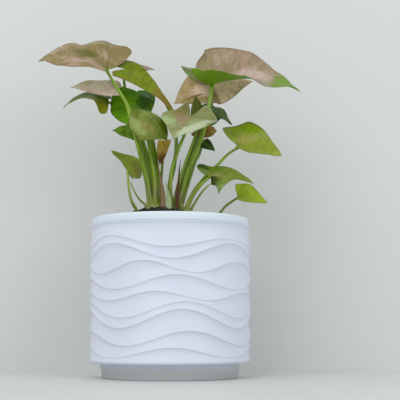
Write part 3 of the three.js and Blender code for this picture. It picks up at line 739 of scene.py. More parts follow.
@dataclass(frozen=True)
class GrainFinish:
    """Plain colour with a cloudy second tone and a fine uneven surface."""

    colour: Colour
    second: Colour
    roughness: float
    cloud_scale: float
    grain_scale: float
    share: float
    bump: float
    low: Colour | None = None  # painted shade and painted floor reflection on the piece's foot
    foot_shade_heights: Pair = (14 * MM, 5.6 * MM)  # where that painted shade starts and where it is full
    sheet: bool = False  # a sheet of the stage, clear from behind

    def material(self, name: str, effects: Effects) -> Material:
        """Makes the material with the shared grain group."""
        graph = SurfaceGraph(name)
        grain = graph.group(effects.grain, {
            "Colour": self.colour, "Second": self.second, "Cloud scale": self.cloud_scale,
            "Grain scale": self.grain_scale, "Share": self.share,
        }).outputs
        colour = grain["Colour"]
        # Painted shade: the foot turns grey below the given heights, standing in for shade and the
        # floor's reflection
        if self.low:
            height = graph.split(graph.place())[2]
            colour = graph.mix(graph.step(height, *self.foot_shade_heights), colour, self.low)
        graph.dress(colour, self.roughness, {"Normal": graph.bump(grain["Height"], self.bump)})
        if self.sheet:
            graph.clear_behind()
        return graph.material


# Leaf blades

MARGIN_KNOTS = np.array([0, 0.08, 0.17, 0.27, 0.38, 0.5, 0.64, 0.8, 0.93, 1])
FOLD_KNOTS = np.array([-0.35, 0, 0.35, 0.7, 1])
JOINT_KNOT = 0.36  # margin place whose vein still starts at the joint
START_POWER = 1.1  # the other veins' starts go up the midrib by this power
LEAST_LOBE = 0.2  # share of the midrib over which the lobes' fall is reckoned at least
WAVE_END = 5  # the margin's wave fades over the last fifth of its way to the tip
NEARLY_STRAIGHT = 1e-5  # curl in radians of a half that isn't curled


@dataclass(frozen=True)
class BladeForm:
    """Form of a blade, seen along its midrib from the joint to the tip with its upper side up.

    joint, tip: ends of the midrib. width: left and right half widths. roll: turn about the
    midrib, left side up. arch: rise of the midrib above its chord. droop: fall of the lobes
    behind the joint. lobe: lobe lengths as a share of the midrib. left, right: fold of each half
    in degrees at the lobe, the joint, 0.35, 0.7 and the tip. curl: extra fold at the margins.
    wave: height, waves and phase of the margin. shape: shoulder shift, fullness towards the tip
    and pointedness of the lobe of each half, and the half width of the sinus if it isn't the usual.
    """

    joint: Vec3
    tip: Vec3
    width: Pair
    roll: float = 0.0
    arch: float = 0.004
    droop: float = 0.004
    lobe: Pair = (0.3, 0.3)
    left: Folds = (0.0, 0.0, 0.0, 0.0, 0.0)
    right: Folds = (0.0, 0.0, 0.0, 0.0, 0.0)
    curl: Pair = (0.0, 0.0)
    wave: Vec3 = (0.0008, 2, 0)
    shape: tuple[Shape, Shape] = ((0, 1, 0), (0, 1, 0))

    def axes(self) -> tuple[Array, Array, Array, float]:
        """Directions along the midrib, to the left and up at the joint, and the midrib's length."""
        along = np.subtract(self.tip, self.joint)
        length = float(np.linalg.norm(along))
        along = along / length
        up = unit(np.array([0, 0, 1.0]) - along * along[2])
        left = np.cross(up, along)
        turn = math.radians(self.roll)
        rolled_left = left * math.cos(turn) + np.cross(along, left) * math.sin(turn)
        rolled_up = up * math.cos(turn) + np.cross(along, up) * math.sin(turn)
        return along, rolled_left, rolled_up, length

    @staticmethod
    def margin(lobe: float, shape: Shape) -> tuple[Array, Array]:
        """Margin of one half: shares of the midrib and of the half width at the margin knots."""
        shoulder, fullness, pointed = shape[:3]
        sinus = shape[3] if len(shape) > 3 else 0.2 + 0.12 * pointed
        along = [
            -0.02, -0.55 * lobe, -(0.97 + 0.03 * pointed) * lobe, -(0.8 - 0.25 * pointed) * lobe,
            -0.02 + 0.9 * shoulder, 0.24 + shoulder, 0.5 + 0.8 * shoulder,
            0.76 + 0.4 * shoulder, 0.93, 1,
        ]
        out = [
            0.04, sinus, 0.48 - 0.14 * pointed, 0.8 - 0.1 * pointed, 0.98, 0.95,
            0.69 * fullness**0.5, 0.33 * fullness, 0.09 * fullness**1.3, 0,
        ]
        return np.array(along, float), np.array(out, float)

    def half(self, side: int, place: Array, across: Array) -> tuple[Array, Array, Array]:
        """Places on one half of the blade's middle surface.

        A vein runs from its start on the midrib to its place on the margin, which is a smooth
        curve through the margin points. The midrib is a low arch whose lobes fall behind the
        joint. A half leaves it at the fold angle, bends on by the curl, and waves at the margin.

        Args:
            side: 1 for the left half, -1 for the right.
            place: place on the margin, 0 at the sinus and 1 at the tip.
            across: 0 at the midrib, 1 at the margin.

        Returns:
            Points, and the distances along the midrib and out from it, in metres.
        """
        index = 0 if side > 0 else 1
        along, left, up, length = self.axes()
        margin_along, margin_out = self.margin(self.lobe[index], self.shape[index])
        start = np.maximum((place - JOINT_KNOT) / (1 - JOINT_KNOT), 0) ** START_POWER
        edge = hermite(MARGIN_KNOTS, margin_along, place)
        reach = hermite(MARGIN_KNOTS, margin_out, place)
        p = (1 - across) * start + across * edge
        distance = across * reach * self.width[index]

        lobe_reach = max(*self.lobe, LEAST_LOBE)
        rise = np.where(p >= 0, 4 * p * (1 - p), 4 * p)
        rise_slope = np.where(p >= 0, 4 * (1 - 2 * p), 4.0)
        fall = np.where(p < 0, self.droop * (p / lobe_reach) ** 2, 0.0)
        fall_slope = np.where(p < 0, 2 * self.droop * p / lobe_reach**2, 0.0)
        centre = np.array(self.joint) + along * (p * length)[..., None]
        centre = centre + up * (self.arch * rise - fall)[..., None]
        slope = (self.arch * rise_slope - fall_slope) / length
        over = np.cross(unit(along + up * slope[..., None]), left)

        folds = np.array(self.left if side > 0 else self.right, float)
        fold = np.radians(eased(FOLD_KNOTS, folds, p))
        bend = (math.radians(self.curl[index]) or NEARLY_STRAIGHT) / self.width[index]
        outward = (np.sin(fold + bend * distance) - np.sin(fold)) / bend
        height, waves, phase = self.wave
        ripple = height * across**2 * np.minimum((1 - place) * WAVE_END, 1)
        ripple = ripple * np.sin(2 * np.pi * (waves * place + phase + 0.25 * side))
        upward = (np.cos(fold) - np.cos(fold + bend * distance)) / bend + ripple
        points = centre + side * left * outward[..., None] + over * upward[..., None]
        return points, p * length, distance

    def surface(self, place: Array, across: Array) -> tuple[Array, Array, Array]:
        """Whole middle surface: across runs from -1 at the right margin to 1 at the left one.

        Returns:
            Points, distances along the midrib, and signed distances out from it.
        """
        on_left = across >= 0
        left, right = (self.half(side, place, np.abs(across)) for side in (1, -1))
        points = np.where(on_left[..., None], left[0], right[0])
        return points, np.where(on_left, left[1], right[1]), np.where(on_left, left[2], -right[2])


def vertex_normals(points: Array, triangles: Array) -> Array:
    """Directions of the sum of the triangles' normals at each point."""
    a, b, c = (points[triangles[:, k]] for k in range(3))
    face_normals = np.cross(b - a, c - a)
    normals = np.zeros_like(points)
    for k in range(3):
        np.add.at(normals, triangles[:, k], face_normals)
    return unit(normals)


def open_edges(triangles: Array, corners: Array) -> tuple[Array, Array]:
    """Edges of triangles that no other triangle shares.

    Args:
        triangles: numbers of the joined points, three for each triangle.
        corners: numbers of the same corners on the grid that the points were joined from.

    Returns:
        Both ends of each open edge as joined points, and as points of the grid.
    """
    edges = np.concatenate([triangles[:, [k, (k + 1) % 3]] for k in range(3)])
    sources = np.concatenate([corners[:, [k, (k + 1) % 3]] for k in range(3)])
    count = triangles.max() + 1
    forward = edges[:, 0] * count + edges[:, 1]
    backward = edges[:, 1] * count + edges[:, 0]
    alone = ~np.isin(forward, backward)
    return edges[alone], sources[alone]


@dataclass
class Blade:
    """A leaf blade with thickness, a midrib, side veins and quilting between them."""

    name: str
    form: BladeForm
    finish: BladeFinish
    seed: int
    rows: int = 112
    columns: int = 20
    veins: float = 15.0
    thickness: float = 0.5 * MM  # at the margin half as much
    groove: float = 0.35 * MM
    rib: float = 0.6 * MM
    rib_width: float = 1.0 * MM
    rib_tip: float = 0.1  # share of the midrib's relief that is left at the tip
    vein_depth: float = 0.14 * MM
    vein_width: float = 0.1  # as a share of the spacing
    quilt: float = 0.35 * MM
    quilt_growth: float = 4  # full from the inner 1/4 of the half width outward
    swell: float = 0.5 * MM
    swell_scale: float = 9 * MM
    swell_growth: float = 3  # full from the inner 1/3 of the half width outward
    full_width: float = 20 * MM  # half width from which the relief has its full depth
    join_within: float = 1e-4 * MM
    seed_step: float = 1.7  # place of the finish's noise for each step of the seed
    added: bool = False  # stands for no node of the CAD part

    def relief(self, place: Array, across: Array, along: Array, out: Array) -> tuple[Array, ...]:
        """Heights over the middle surface.

        The midrib is a bell-shaped groove above and a rib below that thins towards the tip. Side
        veins lie at whole numbers of veins * (place - bend * across^2), as narrow bells. The
        blade rises between them by the squared sine, and swells by layered noise.

        Args:
            place, across: place on the margin and share of the way to it.
            along, out: distances along and out from the midrib, in metres.

        Returns:
            Heights of both faces together, of the upper face alone and of the lower face alone.
        """
        reach = np.abs(across)
        phase = self.veins * (place - Effects.VEIN_BEND * reach**2)
        off = phase - np.round(phase)
        strength = min(min(self.form.width) / self.full_width, 1.0)
        vein = self.vein_depth * strength * bell(off, self.vein_width) * (1 - reach**6)
        to_tip = along / max(float(along.max()), 1e-6)
        taper = np.clip(1 + self.rib_tip - to_tip, self.rib_tip, 1.0)
        midrib = strength * bell(out, self.rib_width) * taper
        softened = np.clip(reach * self.quilt_growth, 0, 1) * (1 - reach**4)
        quilt = self.quilt * strength * softened * (np.sin(np.pi * off) ** 2 - 0.5)
        flat = stacked(along, out, 0.0) / self.swell_scale
        swell = self.swell * strength * ValueNoise(self.seed).layered(flat, 2)
        both = quilt + swell * np.clip(reach * self.swell_growth, 0, 1)
        return both, -self.groove * midrib - vein, self.rib * midrib + vein

    def triangles(self) -> Array:
        """Triangles of the grid, split alike on both halves of the blade."""
        wide = 2 * self.columns + 1
        i, j = np.meshgrid(np.arange(self.rows), np.arange(wide - 1), indexing="ij")
        a = (i * wide + j).ravel()
        b, c, d = a + wide, a + wide + 1, a + 1
        right = (j < self.columns).ravel()[:, None]
        first = np.where(right, stacked(a, b, c), stacked(a, b, d))
        second = np.where(right, stacked(a, c, d), stacked(b, c, d))
        return np.concatenate([first, second])

    def build(self, effects: Effects) -> Piece:
        """Makes the blade: both faces on one grid, joined round the margin."""
        place, across = np.meshgrid(np.linspace(0, 1, self.rows + 1),
                                    np.linspace(-1, 1, 2 * self.columns + 1), indexing="ij")
        points, along, out = self.form.surface(place, across)
        points = points.reshape(-1, 3)
        _, kept, joined_as = np.unique(np.round(points / self.join_within), axis=0,
                                       return_index=True, return_inverse=True)
        corners = self.triangles()
        joined = joined_as.reshape(-1)[corners]
        whole = (joined != np.roll(joined, -1, axis=1)).all(axis=1)
        corners, joined = corners[whole], joined[whole]

        middle, count = points[kept], len(kept)
        normals = vertex_normals(middle, joined)
        both, above, below = (height.reshape(-1)[kept][:, None]
                              for height in self.relief(place, across, along, out))
        reach = np.abs(across).reshape(-1)[kept][:, None]
        half = self.thickness / 2 * (0.5 + 0.5 * (1 - reach**8))
        upper = middle + normals * (half + both + above)
        lower = middle - normals * (half - both + below)
        (start, end), (start_source, end_source) = (pair.T for pair in open_edges(joined, corners))
        rim = stacked(start, start + count, end + count, end)
        faces = [joined, joined[:, ::-1] + count, rim]

        source = np.concatenate([
            corners.ravel(), corners[:, ::-1].ravel(),
            stacked(start_source, start_source, end_source, end_source).ravel(),
        ])
        under = np.concatenate([part.ravel() for part in faces]) >= count
        attributes = {
            "blade": stacked(place.ravel()[source], across.ravel()[source], under),
            "flat": stacked(along.ravel()[source] / CM, out.ravel()[source] / CM, 0.0),
        }
        material = self.finish.material(self.name + "_finish", effects, self.veins,
                                        self.seed * self.seed_step)
        piece = add_mesh(self.name + "_blade", np.concatenate([upper, lower]), faces, material,
                         attributes)
        nodes = () if self.added else (self.name,)
        return belong(piece, self.finish.slot, *nodes)


# Planter, liner and soil


@dataclass(frozen=True)
class Ridge:
    """A wavy ridge: mean height, half height, waves round the pot, a high point's bearing, fade."""

    height: float
    swing: float
    waves: int
    high: float
    fade: float = 0.0

    def level(self, bearing: Array) -> Array:
        """Height at a bearing: a cosine of the bearing that fades to the right by fade."""
        swing = self.swing * (1 - self.fade * np.sin(bearing))
        return self.height + swing * np.cos(self.waves * (bearing - math.radians(self.high)))


RIDGES = (
    Ridge(0.1120, 0.0045, 4, 45, 0.5),
    Ridge(0.1047, 0.0067, 4, 46),
    Ridge(0.0916, 0.0050, 5, -19),
    Ridge(0.0793, 0.0056, 4, 5),
    Ridge(0.0681, 0.0036, 5, -10),
    Ridge(0.0569, 0.0065, 4, 10),
    Ridge(0.0497, 0.0076, 4, 8),
    Ridge(0.0339, 0.0060, 4, 13),
    Ridge(0.0224, 0.0042, 4, 1),
)


BEVEL_MIDDLE = 0.25 * MM  # both ways from a sharp corner to the middle point of its bevel


@dataclass
class Planter:
    """White planter: a recessed foot and a body with sharp wavy ridges over scooped bands."""

    foot_height: float = 12.8 * MM
    foot_radius_bottom: float = 58.5 * MM
    foot_radius_top: float = 60 * MM
    foot_step: Pair = (1 * MM, 0.3 * MM)  # over the foot, across and up
    body_radius_bottom: float = 68.6 * MM
    body_radius_top: float = 70.2 * MM
    body_top: float = 129 * MM
    edge_rounding: float = 2.4 * MM
    edge_points: int = 6
    bevel: float = 0.8 * MM  # at the top edge and round the foot
    lip: Pair = (0.6 * MM, 1 * MM)  # bevel of the inner top edge, across and down
    wall: float = 4 * MM
    floor_top: float = 17 * MM
    floor_corner: Pair = (3 * MM, 4 * MM)  # bevel where the floor meets the wall, across and up
    ridge_depth: float = 1.3 * MM
    ridge_depth_limit: float = 1.15  # times that depth
    ridge_sharpness: float = 0.62  # below 1 the scoop is deepest close under its crest
    scoop_spacing: float = 13 * MM
    segments: int = 480
    sharp_above: float = 50  # degrees from which an edge is shaded sharp
    shares: tuple[float, ...] = (  # of the way from one crest to the next, where rows lie
        0, 0.015, 0.04, 0.08, 0.13, 0.19, 0.27, 0.36, 0.46, 0.57, 0.68, 0.79, 0.89, 0.96,
    )
    soft_top: tuple[Pair, ...] = (  # points of the top edge, in from the side and down
        (0.8 * MM, 0), (0.35 * MM, 0.15 * MM), (0.1 * MM, 0.4 * MM),
    )

    def body_radius(self, height: Array | float) -> Array | float:
        """Radius of the body without its scoops."""
        share = height / self.body_top
        return self.body_radius_bottom + (self.body_radius_top - self.body_radius_bottom) * share

    def scoop(self, share: float, spacing: Array) -> Array:
        """Depth below a crest: the sine of a power of the share, so it is steep under the crest."""
        full = self.ridge_depth * np.minimum(spacing / self.scoop_spacing, self.ridge_depth_limit)
        return full * math.sin(math.pi * share**self.ridge_sharpness)

    def scooped(self, bearing: Array) -> list[tuple[Array, Array]]:
        """Rows of the body from below its top edge down over every ridge to its bottom edge."""
        edges = np.ones_like(bearing) * [[self.body_top - self.bevel],
                                         [self.foot_height + self.edge_rounding]]
        levels = [edges[0], *(ridge.level(bearing) for ridge in RIDGES), edges[1]]
        rows = []
        for upper, lower in zip(levels, levels[1:]):
            spacing = upper - lower
            for share in self.shares:
                height = upper - share * spacing
                rows.append((self.body_radius(height) - self.scoop(share, spacing), height))
        return rows

    def build(self, material: Material) -> Piece:
        """Makes the planter from rows round its axis, from inside its floor over the rim down."""
        bottom, top, bevel = self.foot_height, self.body_top, self.bevel
        outer, low, foot = self.body_radius(top), self.body_radius(bottom), self.foot_radius_bottom
        inner = outer - self.wall
        inside = [
            (inner - self.floor_corner[0], self.floor_top),
            (inner, self.floor_top + self.floor_corner[1]),
            (inner, top - self.lip[1]),
            (inner + self.lip[0], top),
            *((outer - inset, top - drop) for inset, drop in self.soft_top),
        ]
        rounding, turns = self.edge_rounding, np.linspace(0, math.pi / 2, self.edge_points)
        beneath = [
            *((low - rounding * (1 - math.cos(turn)), bottom + rounding - rounding * math.sin(turn))
              for turn in turns),
            (self.foot_radius_top + self.foot_step[0], bottom),
            (self.foot_radius_top, bottom - self.foot_step[1]),
            (foot, bevel),
            (foot - BEVEL_MIDDLE, BEVEL_MIDDLE),
            (foot - bevel, 0),
        ]
        level = np.ones(self.segments)
        rows = [
            *((radius * level, height * level) for radius, height in inside),
            *self.scooped(around(self.segments)),
            *((radius * level, height * level) for radius, height in beneath),
        ]
        radii, heights = np.array(rows)[::-1].transpose(1, 0, 2)
        points, faces = revolve(radii, heights)
        piece = add_mesh("planter_body", points, faces, material, sharp_above=self.sharp_above)
        return belong(piece, Slot.PLANTER, "planter")


@dataclass
class Liner:
    """Nursery pot inside the planter, with a rounded rim and drain holes."""

    rim_bottom: float = 129.3 * MM
    rim_top: float = 136.2 * MM
    rim_radius: float = 68 * MM
    rim_rounding: float = 1.4 * MM
    rim_points: int = 7
    rim_bevel: float = 0.8 * MM
    rim_dip: float = 0.4 * MM  # fall of the rim's top towards its inner edge
    dip_start: Pair = (0.5 * MM, 0.1 * MM)  # where it falls faster, from that edge and down
    seat: float = 1 * MM  # height of the straight wall below the rim
    inner_radius_top: float = 65.6 * MM
    body_radius_top: float = 63.8 * MM
    body_radius_bottom: float = 54 * MM
    wall: float = 2 * MM
    bottom: float = 19 * MM
    corner: float = 2 * MM  # bevel round the underside
    floor_corner: Pair = (2 * MM, 1.5 * MM)  # bevel inside, across and up
    middle_radius: float = 20 * MM  # of the floor inside the drain holes
    drain_holes: int = 6
    drain_radius: float = 4 * MM
    drain_circle: float = 36 * MM
    drain_sides: int = 32
    drill_length: float = 12 * MM
    segments: int = 256
    sharp_above: float = 40  # degrees, as for the planter

    def profile(self) -> Array:
        """Rows from the middle of the underside, up the outside, over the rim and down inside."""
        rim, floor = self.rim_radius, self.bottom + self.wall
        inner = self.body_radius_bottom - self.wall
        turns = np.linspace(0, math.pi / 2, self.rim_points)
        rounding = stacked(rim - self.rim_rounding * (1 - np.cos(turns)),
                           self.rim_top - self.rim_rounding * (1 - np.sin(turns)))
        return np.array([
            (self.middle_radius, self.bottom),
            (self.body_radius_bottom - self.corner, self.bottom),
            (self.body_radius_bottom, self.bottom + self.corner),
            (self.body_radius_top, self.rim_bottom - self.seat),
            (self.body_radius_top, self.rim_bottom),
            (rim - self.rim_bevel, self.rim_bottom),
            (rim - BEVEL_MIDDLE, self.rim_bottom + BEVEL_MIDDLE),
            (rim, self.rim_bottom + self.rim_bevel),
            *rounding,
            (self.inner_radius_top + self.dip_start[0], self.rim_top - self.dip_start[1]),
            (self.inner_radius_top, self.rim_top - self.rim_dip),
            (self.body_radius_top - self.wall, self.rim_bottom),
            (inner, floor + self.floor_corner[1]),
            (inner - self.floor_corner[0], floor),
            (self.middle_radius, floor),
        ])

    def build(self, material: Material) -> Piece:
        """Makes the liner as a turned shell, then cuts its drain holes."""
        radii, heights = self.profile().T[:, :, None] * np.ones(self.segments)
        points, faces = revolve(radii, heights)
        piece = add_mesh("liner_pot", points, faces, material)
        cutters = [self.cutter(k, material) for k in range(self.drain_holes)]
        for cutter in cutters:
            cut = piece.modifiers.new("drain", "BOOLEAN")
            cut.operation, cut.solver, cut.object = "DIFFERENCE", "EXACT", cutter
        keep_modified(piece)
        piece.data.set_sharp_from_angle(angle=math.radians(self.sharp_above))
        for cutter in cutters:
            bpy.data.objects.remove(cutter)
        return belong(piece, Slot.LINER, "liner")

    def cutter(self, index: int, material: Material) -> Piece:
        """Round bar that cuts one drain hole through the floor."""
        bearing = 2 * np.pi * index / self.drain_holes
        radii = np.full((2, self.drain_sides), self.drain_radius)
        half = self.drill_length / 2
        heights = self.bottom + np.array([[-half], [half]]) * np.ones_like(radii)
        points, faces = revolve(radii, heights)
        shift = [self.drain_circle * np.sin(bearing), self.drain_circle * np.cos(bearing), 0]
        return add_mesh(f"drain_{index}", points + shift, faces, material)


@dataclass
class Soil:
    """Dark soil: a mound that falls to an even edge, with a crumbled top and loose crumbs on it."""

    edge_height: float = 130 * MM
    mound_height: float = 17.3 * MM
    mound_centre: Pair = (-10 * MM, 0.0)
    mound_spread: float = 28 * MM
    top_radius: float = 61.2 * MM
    bottom_radius: float = 51.4 * MM
    floor: float = 21.7 * MM
    floor_corner: Pair = (4 * MM, 1.4 * MM)  # bevel at the bottom, across and up
    side_top: float = 127.3 * MM
    coarse: tuple[float, float, int] = (0.9 * MM, 5 * MM, 3)  # height, size and octaves of lumps
    fine: tuple[float, float, int] = (0.35 * MM, 1.3 * MM, 2)
    smooth_rings: int = 2  # the outermost ones, without lumps
    segments: int = 288
    rings: int = 96
    crumbs: int = 420
    crumb_radius: Pair = (0.6 * MM, 1.5 * MM)  # the least, and what the largest has more
    crumb_reach: float = 0.96  # share of the soil's radius over which they lie
    crumb_dent: float = 0.45  # as a share of the radius
    crumb_lumps: Pair = (1.3, 3.1)  # cells of noise in a radius, and from crumb to crumb
    crumb_stretch: Pair = (0.6, 1.3)  # least and most, in each direction
    crumb_flatness: float = 0.75  # height as a share of width
    crumb_rows: int = 8
    crumb_columns: int = 12
    seed: int = 11

    def height(self, x: Array, y: Array) -> Array:
        """Height at a place: edge + mound * exp(-d^2 / (2 spread^2)) from the mound's centre."""
        squared = (x - self.mound_centre[0]) ** 2 + (y - self.mound_centre[1]) ** 2
        return self.edge_height + self.mound_height * np.exp(-squared / (2 * self.mound_spread**2))

    def build(self, material: Material) -> None:
        """Makes the soil and its crumbs."""
        bearing = around(self.segments)
        rings = np.arange(1, self.rings + 1)[:, None]
        radius = self.top_radius * rings / self.rings
        x, y = radius * np.sin(bearing), -radius * np.cos(bearing)
        noise = ValueNoise(self.seed)
        place = stacked(x, y, 0.0)
        rough = sum(height * noise.layered(place / size, octaves)
                    for height, size, octaves in (self.coarse, self.fine))
        top = self.height(x, y) + np.where(rings > self.rings - self.smooth_rings, 0, rough)
        level = np.ones((1, self.segments))
        across, up = self.floor_corner
        radii = np.concatenate([
            (self.bottom_radius - across) * level, self.bottom_radius * level,
            self.top_radius * level, (radius * level)[::-1],
        ])
        heights = np.concatenate([
            self.floor * level, (self.floor + up) * level, self.side_top * level, top[::-1],
        ])
        points, faces = revolve(radii, heights)
        belong(add_mesh("soil_bed", points, faces, material), Slot.SOIL, "soil")
        self.scatter(material)

    def scatter(self, material: Material) -> None:
        """Makes the crumbs: pressed and dented balls of many sizes, half sunk in the soil."""
        draw = np.random.default_rng(self.seed)
        radius = self.top_radius * self.crumb_reach * np.sqrt(draw.uniform(0, 1, self.crumbs))
        bearing = draw.uniform(0, 2 * np.pi, self.crumbs)
        x, y = radius * np.cos(bearing), radius * np.sin(bearing)
        least, more = self.crumb_radius
        size = least + more * draw.uniform(0, 1, self.crumbs) ** 2
        turn = np.linspace(0, np.pi, self.crumb_rows)[:, None]
        bearing = around(self.crumb_columns)
        ball = stacked(np.sin(turn) * np.cos(bearing), np.sin(turn) * np.sin(bearing), np.cos(turn))
        ball = ball.reshape(-1, 3)
        noise = ValueNoise(self.seed + 1)
        quads = ring_quads(self.crumb_rows, self.crumb_columns)[:, ::-1]
        cells, apart = self.crumb_lumps
        points, faces = [], []
        for k in range(self.crumbs):
            dent = 1 + self.crumb_dent * noise.layered(ball * cells + apart * k, 2)
            stretch = draw.uniform(*self.crumb_stretch, 3) * (1, 1, self.crumb_flatness)
            place = np.array([x[k], y[k], self.height(x[k], y[k])])
            points.append(place + ball * dent[:, None] * stretch * size[k])
            faces.append(quads + k * len(ball))
        piece = add_mesh("soil_crumbs", np.concatenate(points), faces, material)
        piece.modifiers.new("poles", "WELD").merge_threshold = 1e-4 * MM
        keep_modified(piece)
        belong(piece, Slot.SOIL)


# Shoots and petioles


@dataclass(frozen=True)
class Petiole:
    """A petiole: its leaf, radii at the soil and at the leaf, and its knots above the soil."""

    leaf: str | None
    radii: Pair
    route: Route
    end: Vec3 | None = None  # one more knot, just before the leaf


@dataclass(frozen=True)
class ShootPlan:
    """A shoot: base centre and radius in the soil, and its petioles."""

    centre: Pair
    radius: float
    petioles: tuple[Petiole, ...]


def smooth_route(knots: Array, stations: int, fineness: int = 60) -> Array:
    """Centripetal Catmull-Rom curve through knots, at evenly spaced stations.

    Args:
        knots: points that the curve passes.
        stations: number of gaps between the stations.
        fineness: points worked out between two knots.

    Returns:
        One point for each station and one more.
    """
    held = np.concatenate([[2 * knots[0] - knots[1]], knots, [2 * knots[-1] - knots[-2]]])
    dense = []
    x = np.linspace(0, 1, fineness, endpoint=False)[:, None]
    for a, b, c, d in zip(held, held[1:], held[2:], held[3:]):
        before, here, after = (np.linalg.norm(q - p) ** 0.5 for p, q in ((a, b), (b, c), (c, d)))
        leave = ((b - a) / before - (c - a) / (before + here) + (c - b) / here) * here
        arrive = ((c - b) / here - (d - b) / (here + after) + (d - c) / after) * here
        cube = 2 * b - 2 * c + leave + arrive
        square = -3 * b + 3 * c - 2 * leave - arrive
        dense.append(b + leave * x + square * x**2 + cube * x**3)
    curve = np.concatenate([*dense, knots[-1:]])
    lengths = np.concatenate([[0], np.cumsum(np.linalg.norm(np.diff(curve, axis=0), axis=1))])
    targets = np.linspace(0, lengths[-1], stations + 1)
    return stacked(*(np.interp(targets, lengths, curve[:, k]) for k in range(3)))


def carried_frames(curve: Array) -> tuple[Array, Array]:
    """Two directions across a curve at each of its points, carried along it without twist."""
    tangents = unit(np.gradient(curve, axis=0))
    side = unit(np.cross(tangents[0], [0.0, 1.0, 0.3]))
    sides = []
    for tangent in tangents:
        side = unit(side - tangent * (side @ tangent))
        sides.append(side)
    first = np.array(sides)
    return first, np.cross(tangents, first)


@dataclass
class Shoot:
    """A shoot: petioles as smooth tubes with widened sheathed bases, on one crown in the soil."""

    name: str
    plan: ShootPlan
    soil: Soil
    forms: dict[str, BladeForm]
    seed: int
    sides: int = 18
    stations: int = 72
    bottom: float = 122 * MM
    root_height: float = 8 * MM  # of a petiole's first knot above the crown's bottom
    soil_gap: float = 0.5 * MM  # of its second knot above the soil
    crown_margin: float = 0.4 * MM  # between a petiole's side and the crown's
    leaf_overlap: float = 0.3 * MM
    flare: float = 0.22
    flare_height: float = 9 * MM
    knee: float = 0.25  # swelling under the blade
    knee_place: float = 0.97
    knee_length: float = 0.03
    groove: float = 0.14
    groove_width: float = 0.5  # in radians
    free_end: Pair = (1.003, 25)  # share of the way where it closes, and how fast
    leaf_end: Pair = (1.004, 60)
    tone_step: float = 0.02
    crown_sides: int = 48
    crown_rows: tuple[int, int] = (8, 12)  # up to the soil, and above it
    crown_rise: float = 9 / 8  # height above the soil as a share of the crown's radius
    crown_start: float = 0.08  # share of that height of the first row above the soil
    crown_taper: Pair = (0.5, 1.3)  # share of the radius lost at the top, and power of the taper
    crown_lobes: float = 0.1
    crown_bulge: float = 1.02  # most that the lobes widen it
    crown_lumps: Pair = (2.2, 7 * MM)  # radius in cells of noise, and height of a cell
    crown_tone: float = -0.5

    def ground(self) -> float:
        """Height of the soil at the shoot's centre."""
        return float(self.soil.height(*np.array(self.plan.centre)))

    def route(self, petiole: Petiole) -> Array:
        """Knots of a petiole's centreline, from inside the crown to its leaf."""
        centre = np.array(self.plan.centre)
        knots = [np.array(point) for point in petiole.route]
        start = knots[0][:2] - centre
        room = self.plan.radius - petiole.radii[0] - self.crown_margin
        start = start * min(1.0, room / float(np.linalg.norm(start)))
        knots[0] = np.array([*(centre + start), self.ground() + self.soil_gap])
        knots.insert(0, np.array([*(centre + start / 2), self.bottom + self.root_height]))
        if petiole.end:
            knots.append(np.array(petiole.end))
        if petiole.leaf:
            form = self.forms[petiole.leaf]
            knots.append(np.array(form.joint) - form.axes()[2] * self.leaf_overlap)
        return np.array(knots)

    def tube(self, petiole: Petiole, index: int) -> tuple[Array, list[Array], Array]:
        """A petiole as a tube.

        Its radius goes evenly from the soil to the leaf, plus a flare over the sheath and a
        small knee under the blade, and closes at the end. A shallow groove runs up one side.

        Args:
            petiole: the petiole.
            index: its number in the shoot.

        Returns:
            Points, faces, and for each point the height above the soil in centimetres, the
            bearing round the tube and the tone.
        """
        curve = smooth_route(self.route(petiole), self.stations)
        share = np.linspace(0, 1, self.stations + 1)
        height = curve[:, 2] - self.soil.height(curve[:, 0], curve[:, 1])
        base, top = petiole.radii
        radius = base + (top - base) * share
        radius = radius * (1 + self.flare * np.exp(-np.maximum(height, 0) / self.flare_height))
        end, steepness = self.leaf_end if petiole.leaf else self.free_end
        if petiole.leaf:
            radius = radius * (1 + self.knee * bell(share - self.knee_place, self.knee_length))
        radius = radius * np.sqrt(np.clip((end - share) * steepness, 0, 1))
        angle = around(self.sides)
        grooved = 1 - self.groove * bell(angle - np.pi, self.groove_width)
        first, second = carried_frames(curve)
        offset = (first[:, None] * np.cos(angle)[None, :, None]
                  + second[:, None] * np.sin(angle)[None, :, None])
        rings = curve[:, None] + offset * (radius[:, None] * grooved[None])[..., None]
        points = np.concatenate([rings.reshape(-1, 3), curve[:1], curve[-1:]])
        tone = self.tone_step * index
        values = stacked(height[:, None] / CM, angle[None] / (2 * np.pi), tone).reshape(-1, 3)
        ends = stacked(height[[0, -1]] / CM, 0.0, tone)
        return points, tube_faces(self.stations + 1, self.sides), np.concatenate([values, ends])

    def crown(self) -> tuple[Array, list[Array], Array]:
        """The crown: rows from the bottom up, upright to the soil, then a lobed taper."""
        ground = self.ground()
        rise = self.crown_rise * self.plan.radius
        below, above = self.crown_rows
        heights = np.concatenate([
            np.linspace(self.bottom, ground, below),
            ground + rise * np.linspace(self.crown_start, 1, above),
        ])[:, None]
        loss, power = self.crown_taper
        taper = 1 - loss * np.clip((heights - ground) / rise, 0, 1) ** power
        bearing = around(self.crown_sides)[None]
        wide, tall = self.crown_lumps
        ring = stacked(wide * np.cos(bearing), wide * np.sin(bearing), heights / tall)
        noise = ValueNoise(self.seed).layered(ring, 2)
        lobes = np.minimum(1 + self.crown_lobes * noise * (heights > ground), self.crown_bulge)
        radii = self.plan.radius * taper * lobes
        points, faces = revolve(radii, heights * np.ones_like(radii))
        values = stacked((points[:, 2] - ground) / CM,
                         np.arctan2(points[:, 1], points[:, 0]) / np.pi, self.crown_tone)
        return points + np.array([*self.plan.centre, 0]), faces, values

